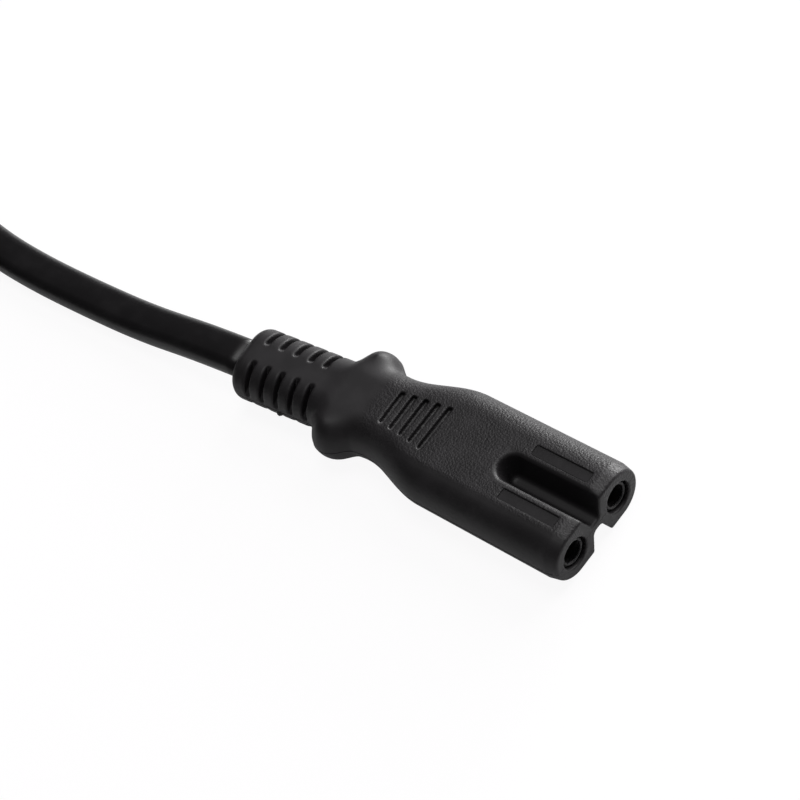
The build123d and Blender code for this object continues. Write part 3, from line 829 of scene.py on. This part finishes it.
@dataclass
class PlugSolid(Moulding):
    """Flat plug that tapers to a slotted boot. Its own frame starts at the boot's end."""

    length: float = 44.0
    wide: float = 17.65
    tall: float = 6.85
    front: float = 11.0
    neck: float = 31.0
    face_round: float = 1.0
    bridge_wide: float = 13.33
    bridge_tall: float = 4.43
    bridge_depth: float = 6.03
    slot_reach: float = 12.5
    edge: float = 0.3
    crease: float = 0.1
    boot: SlottedBoot = field(default_factory=lambda: SlottedBoot(slots=4, slot_width=0.95, from_end=2.55))
    step: float = 0.33
    low: Triple = (-0.8, -18.4, -7.6)
    high: Triple = (44.8, 18.4, 7.6)

    def sizes(self, depth: Array) -> tuple[Array, Array]:
        """Half width and half height at a depth behind the pin face."""
        share = blend((depth - self.front) / (self.neck - self.front))
        wide = self.wide + (self.boot.half_width - self.wide) * share
        return wide, self.tall + (self.boot.half_height - self.tall) * share

    def distance(self, points: Array) -> Array:
        """Distance from the plug's surface."""
        ahead, left, up = points[..., 0], points[..., 1], points[..., 2]
        wide, tall = self.sizes(self.length - ahead)
        lateral = np.abs(left)
        side = oblong(lateral, up, wide, tall)
        body = meet(side, ahead - self.length, self.face_round)
        body = meet(body, -ahead, self.boot.end_round)
        slots = meet(self.boot.cut(side, ahead, left, up), ahead - self.slot_reach, self.crease)
        body = carve(body, slots, self.edge)
        seat = oblong(lateral, up, self.bridge_wide, self.bridge_tall)
        return carve(body, meet(seat, self.length - self.bridge_depth - ahead, self.crease), self.crease)


# ---- the cord


@dataclass(frozen=True)
class Station:
    """A place on the middle of the hank's band, with the way out of the loop."""

    place: Vector
    outward: Vector
    on_fold: bool = False
    near_angle: float | None = None


@dataclass(frozen=True)
class Hank:
    """Where the folded cord lies: two turns side by side in two layers, waisted at the tie."""

    run: float = 104.0
    pitch: float = 3.6
    fold: float = 19.35
    flare: float = 22.0
    slack: float = 0.4
    near: tuple[float, float] = (-113.0, -19.2)
    turns: int = 4
    fold_steps: int = 10
    waist_shares: Triple = (0.7, 0.0, -0.7)

    def centre(self) -> Vector:
        """Middle of the hank on the plan."""
        return Vector((self.near[0] - self.run / 2, self.near[1]))

    def half_step(self) -> float:
        """Half the angle between two stations of a fold, in radians."""
        return radians((180 + 2 * self.flare) / self.fold_steps / 2)

    def side(self) -> list[Station]:
        """Stations from the near fold to the far one: flank, waist, flank."""
        half, flare = self.run / 2, radians(self.flare)
        waist = self.pitch + self.slack
        gain = half - self.fold * sin(flare)
        drop = self.fold * cos(flare) - waist
        arc = (drop * cos(flare) - gain * sin(flare)) / ((1 - cos(flare)) * cos(flare) - sin(flare) ** 2)
        flank = (gain - arc * sin(flare)) / cos(flare)
        outward = Vector((-sin(flare), cos(flare)))
        corner = Vector((half, 0.0)) + outward * self.fold
        middle = corner + Vector((-cos(flare), -sin(flare))) * flank / 2
        stations = [Station(middle, outward)]
        for share in self.waist_shares:
            lean = flare * share
            out = Vector((-sin(lean), cos(lean)))
            stations.append(Station(Vector((0.0, waist + arc)) - out * arc, out))
        mirrored = Station(Vector((-middle.x, middle.y)), Vector((-outward.x, outward.y)))
        return [*stations, mirrored]

    def ring(self) -> list[Station]:
        """Stations round one turn on the middle of the band, from the near fold's top."""
        half, side = self.run / 2, self.side()
        near, far = [], []
        for k in range(self.fold_steps):
            angle = -90 - self.flare + degrees(self.half_step()) * (2 * k + 1)
            way = Vector((cos(radians(angle)), sin(radians(angle))))
            near.append(Station(Vector((half, 0.0)) + way * self.fold, way, True, angle))
            far.append(Station(Vector((-half, 0.0)) - way * self.fold, -way, True))
        back = [Station(-station.place, -station.outward) for station in side]
        return side + far + back + near


@dataclass(frozen=True)
class RoutePoint:
    """A control point of the cord: its place, and how far it is turned from lying flat."""

    x: float
    y: float
    z: float
    turn: float = Facing.FLAT.value


@dataclass
class FlatCord:
    """The flat twin cord, from the connector's boot to the plug's."""

    width: float = 5.5
    thickness: float = 3.4
    length: float = 1.5
    around: int = 28
    spline_order: int = 3
    spline_steps: int = 6
    hank: Hank = field(default_factory=Hank)
    line: Array | None = None
    leaving: tuple[Triple, ...] = (
        (-27.42, -2.02, 3.85),
        (-34.9, -2.67, 3.85),
        (-46.5, -3.5, 2.0),
        (-57.5, -4.05, 1.75),
        (-68.5, -4.35, 1.7),
        (-78.5, -3.9, 1.7),
    )
    turning: tuple[Triple, ...] = ((-87.17, -2.28, 15.0), (-94.56, -0.98, 45.0), (-102.3, 0.38, 75.0))
    joining: tuple[float, ...] = (80.0, 100.8)
    joining_swell: float = 0.35
    # What each turn changes on the near fold: lanes, from which angle, over how much, then layers likewise.
    changes: tuple[tuple[float, ...], ...] = (
        (-1.0, 35.0, 40.0, 0.0, 0.0, 1.0),
        (0.0, 0.0, 1.0, 1.0, -5.0, 45.0),
        (1.0, -42.0, 38.0, 0.0, 0.0, 1.0),
        (-0.5, -68.0, 42.0, 1.0, -112.0, 45.0),
    )
    to_plug: tuple[Triple, ...] = (
        (-120.25, -1.26, 12.7),
        (-127.2, -4.07, 12.7),
        (-142.0, -10.2, 12.7),
        (-152.5, -14.4, 12.7),
        (-161.5, -16.8, 13.2),
        (-168.08, -18.02, 13.99),
        (-175.5, -18.8, 14.75),
    )

    def lying(self, x: float, y: float, turn: float, floor: float = 0.0) -> RoutePoint:
        """Control point where the cord rests on something, turned by some degrees from lying flat."""
        half = (self.width - self.thickness) / 2
        return RoutePoint(x, y, floor + self.thickness / 2 + half * sin(radians(turn)), turn)

    def on_near_fold(self, turn: int, angle: float) -> tuple[float, float, float]:
        """How a turn changes its lane and layer as it goes round the near fold.

        Args:
            turn: the turn's number, from 0.
            angle: angle on the fold, in degrees.

        Returns:
            Shift across the band, lift, and degrees from lying flat.
        """
        lanes, lane_from, lane_over, layers, lift_from, lift_over = self.changes[turn]
        moved, lifted = (
            float(blend(np.float64((angle - start) / span)))
            for start, span in ((lane_from, lane_over), (lift_from, lift_over))
        )
        laid = moved if turn == self.hank.turns - 1 else 0.0
        return self.hank.pitch * lanes * moved, self.width * layers * lifted, Facing.ON_EDGE.value * (1 - laid)

    def turns(self) -> list[RoutePoint]:
        """Every turn of the hank, wound outside to inside, then inside to outside on top.

        Returns:
            The control points in order.
        """
        swell = self.hank.fold / cos(self.hank.half_step()) - self.hank.fold
        centre, lane = self.hank.centre(), self.hank.pitch / 2
        points = []
        for turn in range(self.hank.turns):
            for station in self.hank.ring():
                offset = lane if turn in (0, self.hank.turns - 1) else -lane
                lift, twist = 0.0, Facing.ON_EDGE.value
                if station.near_angle is not None:
                    shift, lift, twist = self.on_near_fold(turn, station.near_angle)
                    offset += shift
                if station.on_fold:
                    offset += swell
                at = centre + station.place + station.outward * offset
                points.append(self.lying(at.x, at.y, twist, turn // 2 * self.width + lift))
        return points

    def route(self) -> list[RoutePoint]:
        """All control points, from the connector's boot to the plug's."""
        points = [RoutePoint(*p) for p in self.leaving]
        points += [self.lying(*p) for p in self.turning]
        outer = self.hank.fold + self.hank.pitch / 2 + self.joining_swell
        for angle in self.joining:
            way = Vector((cos(radians(angle)), sin(radians(angle))))
            at = Vector(self.hank.near) + way * outer
            points.append(self.lying(at.x, at.y, Facing.ON_EDGE.value))
        points += self.turns()
        return points + [RoutePoint(*p) for p in self.to_plug]

    def centre_line(self, points: list[RoutePoint]) -> Array:
        """Smooth line through the route, as Blender draws its spline.

        Args:
            points: the control points.

        Returns:
            Places along it, in metres.
        """
        curve = bpy.data.curves.new("cord route", "CURVE")
        curve.dimensions = "3D"
        curve.resolution_u = self.spline_steps
        spline = curve.splines.new("NURBS")
        spline.points.add(len(points) - 1)
        for mark, p in zip(spline.points, points):
            mark.co = (p.x * MM, p.y * MM, p.z * MM, 1.0)
        spline.order_u = self.spline_order
        spline.use_endpoint_u = True
        guide = bpy.data.objects.new("cord route", curve)
        bpy.context.scene.collection.objects.link(guide)
        bpy.context.view_layer.update()
        line = bpy.data.meshes.new_from_object(guide)
        places = np.array([v.co for v in line.vertices])
        bpy.data.objects.remove(guide)
        bpy.data.curves.remove(curve)
        bpy.data.meshes.remove(line)
        return places

    def section(self) -> list[tuple[float, float]]:
        """The cord's section: two half rounds joined by its flat faces.

        Returns:
            Offsets along its width and its thickness, in metres.
        """
        radius = self.thickness / 2
        flat = self.width / 2 - radius
        outline = []
        for k in range(self.around):
            angle = tau * (k + 0.5) / self.around
            shift = flat if cos(angle) > 0 else -flat
            outline.append(((radius * cos(angle) + shift) * MM, radius * sin(angle) * MM))
        return outline

    def frames(self, places: Array, points: list[RoutePoint]) -> tuple[Array, Array]:
        """Ways across and through the flat cord along its line.

        Args:
            places: the places along the line.
            points: the control points, which say how far the cord is turned.

        Returns:
            The way across the width and the way through the thickness, at every place.
        """
        share = np.linspace(0, len(points) - 2, len(places)) + 0.5
        twist = np.radians(np.interp(share, np.arange(len(points)), [p.turn for p in points]))
        ways = np.gradient(places, axis=0)
        ways /= np.linalg.norm(ways, axis=1)[:, None]
        level = np.cross([0.0, 0.0, 1.0], ways)
        level /= np.linalg.norm(level, axis=1)[:, None]
        upright = np.cross(ways, level)
        across = level * np.cos(twist)[:, None] + upright * np.sin(twist)[:, None]
        return across, np.cross(ways, across)

    def build(self, look: Material) -> Object:
        """Make the cord's tube.

        Args:
            look: the sheath's material.

        Returns:
            The cord's piece.
        """
        points = self.route()
        self.line = self.centre_line(points)
        across, through = self.frames(self.line, points)
        outline = self.section()
        count, rings = len(outline), len(self.line)
        tube = np.stack([self.line + across * a + through * b for a, b in outline], 1).reshape(-1, 3)
        numbers = np.arange(rings * count).reshape(rings, count)
        beside = np.roll(numbers, -1, axis=1)
        corners = (numbers[:-1], beside[:-1], beside[1:], numbers[1:])
        faces = [*np.stack(corners, -1).reshape(-1, 4).tolist(), numbers[0, ::-1].tolist(), numbers[-1].tolist()]
        cord = piece_from("flat_cord", tube, faces, look)
        for cap in cord.data.polygons[-2:]:
            cap.use_smooth = False
        steps = np.linalg.norm(np.diff(self.line, axis=0), axis=1)
        travelled = np.concatenate([[0], np.cumsum(steps)]) / MM
        on_loop = np.array([loop.vertex_index for loop in cord.data.loops])
        uv = np.stack([travelled[on_loop // count], (on_loop % count) / count], -1)
        cord.data.uv_layers.new(name="run").data.foreach_set("uv", uv.astype(np.float32).ravel())
        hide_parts("cord", "cord_hank", "cord_tail")
        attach(cord, "root")
        LOG.info("cord: %d control points, %.3f m", len(points), steps.sum())
        return cord


# ---- assemblies


@dataclass(frozen=True)
class Seam:
    """Raised bead, such as the fine line that the mould's parting leaves at half height."""

    radius: float = 0.075
    sides: int = 8
    sunk: float = 0.35

    def grow(self, name: str, chains: Sequence[Array], look: Material, closed: bool = False) -> Object:
        """Lay the line along chains of places.

        Args:
            name: the piece's name.
            chains: places along each line, in metres.
            look: its material.
            closed: whether each line ends where it starts.

        Returns:
            The piece.
        """
        rule = ShapeRule(name + "_rule", {"Bead Radius": self.radius * MM, "Bead Sides": self.sides})
        sizes = {"Radius": rule.given("Bead Radius"), "Resolution": rule.given("Bead Sides")}
        rule.sweep(rule.path(), rule.add("GeometryNodeCurvePrimitiveCircle", None, sizes), look)
        counts = [len(chain) for chain in chains]
        starts = np.cumsum([0, *counts[:-1]])
        numbers = [[*range(start, start + count), *[start] * closed] for start, count in zip(starts, counts)]
        seam = rule.grow(name, np.concatenate(chains), numbers)
        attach(seam, "root")
        return seam


@dataclass
class Connector:
    """The figure-eight connector: its moulding, the mould's parting line and the rim in each entry."""

    solid: ConnectorMoulding = field(default_factory=ConnectorMoulding)
    seam: Seam = field(default_factory=Seam)
    rim: Seam = field(default_factory=lambda: Seam(radius=0.2, sides=16))
    rim_middle: float = 1.66
    rim_depth: float = 0.62
    rim_steps: int = 64
    seam_front: float = 0.75
    seam_back: float = 1.35
    seam_step: float = 0.4

    def parting(self, side: Side) -> Array:
        """Places along the parting line.

        Args:
            side: which side of the connector.

        Returns:
            The places, in metres.
        """
        end = self.solid.length - self.seam_back
        places = []
        for along in np.arange(self.seam_front, end, self.seam_step):
            wide = self.solid.outline(float(along), side)
            x, y = self.solid.bent(float(along), side.value * (wide - self.seam.sunk * self.seam.radius))
            places.append((x * MM, y * MM, self.solid.head_radius * MM))
        return np.array(places)

    def entry_rim(self, side: Side) -> Array:
        """Places round the rim inside one pole's entry, in metres."""
        angle = np.linspace(0, tau, self.rim_steps, endpoint=False)
        across = side.value * self.solid.pole_spacing / 2 + self.rim_middle * np.cos(angle)
        height = self.solid.head_radius + self.rim_middle * np.sin(angle)
        return np.stack([0 * angle + self.solid.length / 2 - self.rim_depth, across, height], -1) * MM

    def build(self, moulding: Material) -> None:
        """Skin the moulding in place of its plain solid, and lay its beads.

        Args:
            moulding: the soft moulding's material.
        """
        points, faces = self.solid.skin()
        skin = piece_from("connector_skin", points * MM, faces, moulding)
        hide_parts("connector_body")
        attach(skin, "root")
        self.seam.grow("connector_seam", [self.parting(side) for side in Side], moulding)
        self.rim.grow("entry_rims", [self.entry_rim(side) for side in Side], moulding, closed=True)
        LOG.info("connector: %d faces", len(faces))


@dataclass
class Plug:
    """The flat plug on the hank."""

    solid: PlugSolid = field(default_factory=PlugSolid)
    seam: Seam = field(default_factory=Seam)
    boot_at: Triple = (-175.5, -18.8, 14.75)
    yaw: float = 6.0
    sections: int = 8
    seam_step: float = 0.6
    seam_ends: tuple[float, float] = (1.35, 1.0)

    def pitch(self) -> float:
        """Nose-up angle in degrees, at which the plug's underside lies on the hank."""
        taper = self.solid.neck - self.solid.front
        depths = [self.solid.front + taper * k / self.sections for k in range(self.sections)]
        lean = []
        for depth in depths:
            _, tall = self.solid.sizes(np.float64(depth))
            lean.append(asin((float(tall) - self.solid.boot.half_height) / (self.solid.length - depth)))
        return degrees(max(lean))

    def placed(self, points: Array) -> Array:
        """Move points in millimetres from the plug's own frame to their place in metres."""
        turned = Matrix.Rotation(radians(180 + self.yaw), 4, "Z") @ Matrix.Rotation(radians(-self.pitch()), 4, "Y")
        place = np.array(Matrix.Translation(self.boot_at) @ turned)
        return (points @ place[:3, :3].T + place[:3, 3]) * MM

    def parting(self, side: Side) -> Array:
        """Places along the parting line of one side, in metres."""
        ahead = np.arange(self.seam_ends[0], self.solid.length - self.seam_ends[1], self.seam_step)
        wide, _ = self.solid.sizes(self.solid.length - ahead)
        beside = side.value * (wide - self.seam.sunk * self.seam.radius)
        return self.placed(np.stack([ahead, beside, 0 * ahead], -1))

    def build(self, moulding: Material) -> list[str]:
        """Skin the plug in place of its plain solid.

        Args:
            moulding: the plug moulding's material.

        Returns:
            The names of its pieces.
        """
        points, faces = self.solid.skin()
        skin = piece_from("plug_skin", self.placed(points), faces, moulding)
        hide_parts("plug_body")
        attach(skin, "root")
        seam = self.seam.grow("plug_seam", [self.parting(side) for side in Side], moulding)
        LOG.info("plug: %d faces", len(faces))
        return [skin.name, seam.name]


@dataclass
class TwistTie:
    """Coated wire tie round the hank's waist, with its two ends twisted together."""

    at: Triple = (-165.0, -19.2, 0.0)
    width: float = 3.6
    thickness: float = 0.8
    strip: float = 0.42
    half: float = 7.7
    shoulder: float = 11.1
    crown: float = 15.6
    crown_half: float = 3.2
    strand: float = 1.8
    stalk_y: float = -4.6
    stalk_length: float = 13.0
    stalk_turns: float = 0.75
    stalk_steps: int = 40
    corner_steps: int = 7
    wire_sides: int = 14
    strip_space: float = 1.5
    edge_steps: int = 4
    edge_share: float = 0.49
    coating: PlainPlastic = PlainPlastic(
        "tie coating", (0.012, 0.012, 0.013), (0.02, 0.02, 0.021), rough=0.32, spread=0.12, relief=0.015
    )

    def loop(self) -> Array:
        """Places along the middle of the band round the waist, in metres."""
        inner = [
            (-self.half, self.thickness),
            (self.half, self.thickness),
            (self.half, self.shoulder),
            (self.strand + self.crown_half, self.crown),
            (self.strand - self.crown_half, self.crown),
            (-self.half, self.shoulder),
        ]
        grow = self.thickness / 2
        places: list[tuple[float, float]] = []
        for k, corner in enumerate(inner):
            before, after = Vector(inner[k - 1]), Vector(inner[(k + 1) % len(inner)])
            here = Vector(corner)
            first, second = (here - before).normalized(), (after - here).normalized()
            start, end = atan2(-first.x, first.y), atan2(-second.x, second.y)
            while end < start:
                end += tau
            for share in np.linspace(0, 1, self.corner_steps):
                angle = start + (end - start) * share
                places.append((here.x + grow * cos(angle), here.y + grow * sin(angle)))
        return np.array([(self.at[0], self.at[1] + y, z) for y, z in places]) * MM

    def stalk(self) -> Array:
        """Places along the middle of the twisted ends, in metres."""
        start = np.array([self.at[0], self.at[1] + self.stalk_y, self.shoulder + self.width / 2])
        reach = np.linspace(0, self.stalk_length, self.stalk_steps)
        return (start + reach[:, None] * np.array([1.0, 0.0, 0.0])) * MM

    def grow(self, name: str, path: Array, closed: bool, strips: int, turns: float) -> str:
        """Sweep the ribbed strip along a path, once or as two strips that wind round each other.

        Args:
            name: the piece's name.
            path: places in metres.
            closed: whether the path closes on itself.
            strips: how many strips lie on each other.
            turns: how often they wind round, over the path's length.

        Returns:
            The piece's name.
        """
        sizes = {"Strip Width": self.width * MM, "Strip Thickness": self.strip * MM}
        sizes |= {"Wire Radius": self.thickness / 2 * MM, "Strips": strips, "Turns": turns}
        rule = ShapeRule(name + "_rule", sizes)
        strip = {"Width": rule.given("Strip Width"), "Height": rule.given("Strip Thickness")}
        flat = rule.add("GeometryNodeCurvePrimitiveQuadrilateral", None, strip)
        soft = {"Curve": flat, "Count": self.edge_steps, "Radius": rule.given("Strip Thickness") * self.edge_share}
        flat = rule.add("GeometryNodeFilletCurve", {"mode": "POLY"}, soft)
        wire = {"Radius": rule.given("Wire Radius"), "Resolution": self.wire_sides}
        wire_ring = rule.add("GeometryNodeCurvePrimitiveCircle", None, wire)
        both = rule.node("GeometryNodeJoinGeometry")
        for part in (flat, wire_ring):
            rule.links.new(part.socket, both.inputs[0])
        space = rule.given("Strip Thickness") * self.strip_space
        offset = rule.add("ShaderNodeCombineXYZ", None, {1: space})
        first = rule.add("ShaderNodeCombineXYZ", None, {1: (1 - rule.given("Strips")) * space * 0.5})
        line = {"Count": rule.given("Strips"), "Start Location": first, "Offset": offset}
        places = rule.add("GeometryNodeMeshLine", None, line)
        each = {"Points": places, "Instance": Value(rule, both.outputs[0])}
        copies = rule.add("GeometryNodeInstanceOnPoints", None, each)
        profile = rule.add("GeometryNodeRealizeInstances", None, {"Geometry": copies})
        across = {"Curve": rule.path(), "Normal": (0.0, 1.0, 0.0) if strips > 1 else (1.0, 0.0, 0.0)}
        run = rule.add("GeometryNodeSetCurveNormal", {"mode": "FREE"}, across)
        wound = rule.add("GeometryNodeSplineParameter") * rule.given("Turns") * tau
        run = rule.add("GeometryNodeSetCurveTilt", None, {"Curve": run, "Tilt": wound})
        rule.sweep(run, profile, self.coating.material())
        order = list(range(len(path)))
        piece = rule.grow(name, path, [order + [0] if closed else order])
        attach(piece, "root")
        LOG.info("%s: %d faces", name, len(piece.data.polygons))
        return piece.name

    def build(self) -> list[str]:
        """Make the tie in place of its plain solid, and name its pieces."""
        loop = self.grow("tie_loop", self.loop(), True, 1, 0.0)
        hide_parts("hank_tie")
        return [loop, self.grow("tie_stalk", self.stalk(), False, 2, self.stalk_turns)]


@dataclass
class Finishes:
    """Materials of the nodes that keep their shape."""

    def dress(self) -> None:
        """Give every node that keeps its shape its own finish."""
        hard = {"clouds": 0.6, "rough": 0.36, "gloss": 0.14, "fine": 4.0, "relief": 0.01}
        plastic = PlainPlastic("hard plastic", (0.0105, 0.0098, 0.0105), (0.016, 0.015, 0.016), **hard).material()
        brass = TurnedMetal("brass", (0.62, 0.47, 0.2), (0.4, 0.29, 0.12), 0.28).material()
        nickel = TurnedMetal("nickel", (0.72, 0.7, 0.66), (0.55, 0.53, 0.5), 0.18).material()
        copper = TurnedMetal("copper", (0.82, 0.42, 0.26), (0.6, 0.28, 0.16), 0.3).material()
        brown = PlainPlastic("brown core", (0.12, 0.045, 0.01875), (0.16, 0.06, 0.025)).material()
        blue = PlainPlastic("blue core", (0.0225, 0.105, 0.375), (0.03, 0.14, 0.5)).material()
        black = (0.004875, 0.0045, 0.004875), (0.0065, 0.006, 0.0065)
        sheath = PlainPlastic("inner sheath", *black, gloss=0.22).material()
        looks = {"contact_carrier": plastic, "plug_bridge": plastic}
        looks |= {"sheath_in_boot": sheath, "sheath_in_plug": sheath}
        for side in Side:
            name = side.name.lower()
            looks |= {f"contact_{name}": brass, f"plug_pin_{name}": nickel, f"pin_sleeve_{name}": plastic}
            for end in ("", "plug_"):
                looks[f"{end}conductor_{name}"] = copper
                looks[f"{end}core_{name}"] = brown if side is Side.LEFT else blue
        for node, look in looks.items():
            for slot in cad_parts[node].material_slots:
                slot.material = look
        LOG.info("finishes: %d nodes", len(looks))


# ---- studio


def way(azimuth: float, elevation: float) -> Vector:
    """Direction at an azimuth and an elevation in degrees."""
    turn, rise = radians(azimuth), radians(elevation)
    return Vector((sin(turn) * cos(rise), -cos(turn) * cos(rise), sin(rise)))


@dataclass(frozen=True)
class Viewpoint:
    """Where the photograph was taken from."""

    azimuth: float = 62.094
    elevation: float = 51.371
    roll: float = -28.547
    place: Triple = (158.949, -84.532, 236.820)
    lens: float = 108.0

    def build(self) -> None:
        """Set up the scene's camera."""
        turn, tilt = radians(self.azimuth), radians(self.roll)
        back = way(self.azimuth, self.elevation)
        level = Vector((cos(turn), sin(turn), 0.0))
        upright = back.cross(level)
        right = level * cos(tilt) + upright * sin(tilt)
        up = upright * cos(tilt) - level * sin(tilt)
        data = bpy.data.cameras.new("camera")
        data.lens = self.lens
        data.sensor_width = 36.0
        data.clip_start = 0.01
        camera = bpy.data.objects.new("camera", data)
        pose = Matrix((right, up, back)).transposed().to_4x4()
        pose.translation = Vector(self.place) * MM
        camera.matrix_world = pose
        bpy.context.scene.collection.objects.link(camera)
        bpy.context.scene.camera = camera


@dataclass(frozen=True)
class SoftLamp:
    """A large soft light, aimed at the connector."""

    name: str
    azimuth: float
    elevation: float
    distance: float
    size: float
    power: float

    def build(self, aim: Vector) -> None:
        """Hang the lamp, aimed at a place in metres."""
        data = bpy.data.lights.new(self.name, "AREA")
        data.shape = "DISK"
        data.size = self.size
        data.energy = self.power
        lamp = bpy.data.objects.new(self.name, data)
        back = way(self.azimuth, self.elevation)
        pose = back.to_track_quat("Z", "Y").to_matrix().to_4x4()
        pose.translation = aim + back * self.distance
        lamp.matrix_world = pose
        bpy.context.scene.collection.objects.link(lamp)


@dataclass
class Studio:
    """White floor, soft lights and the plain view."""

    lamps: tuple[SoftLamp, ...] = (
        SoftLamp("back light", 176.0, 28.0, 0.9, 0.8, 11.0),
        SoftLamp("low back light", 190.0, 9.0, 1.0, 0.28, 9.0),
        SoftLamp("top light", 180.0, 78.0, 0.9, 0.5, 4.0),
        SoftLamp("front fill", 60.0, 35.0, 1.1, 0.6, 0.2),
    )
    world: float = 0.1
    floor_size: float = 6.0
    floor_drop: float = 0.02
    aim_height: float = 4.0

    def build(self) -> None:
        """Make the floor, the lamps and the world."""
        half = self.floor_size / 2
        corners = np.array([(-half, -half, 0), (half, -half, 0), (half, half, 0), (-half, half, 0)])
        corners = corners - (0, 0, self.floor_drop * MM)
        floor = piece_from("floor", corners, [(0, 1, 2, 3)], StudioFloor().material())
        for lamp in self.lamps:
            lamp.build(Vector((0.0, 0.0, self.aim_height * MM)))
        scene = bpy.context.scene
        world = bpy.data.worlds.new("studio")
        world.use_nodes = True
        sky = world.node_tree.nodes["Background"].inputs
        sky["Color"].default_value, sky["Strength"].default_value = (1.0, 1.0, 1.0, 1.0), self.world
        scene.world = world
        scene.view_settings.view_transform = "Standard"


def main() -> None:
    """Build the camera and the cord first, then the mouldings, the finishes and the studio."""
    logging.basicConfig(level=logging.INFO, format="%(name)s: %(message)s")
    Viewpoint().build()
    route = FlatCord()
    cord = route.build(Sheath().material())
    with_cord = ["plug_bridge", "sheath_in_plug", *TwistTie().build()]
    for side in Side:
        name = side.name.lower()
        with_cord += [f"plug_pin_{name}", f"pin_sleeve_{name}", f"plug_conductor_{name}", f"plug_core_{name}"]
    with_cord += Plug().build(PlugMoulding().material())
    Connector().build(SoftMoulding().material())
    Finishes().dress()
    Studio().build()


if __name__ == "__main__":
    main()
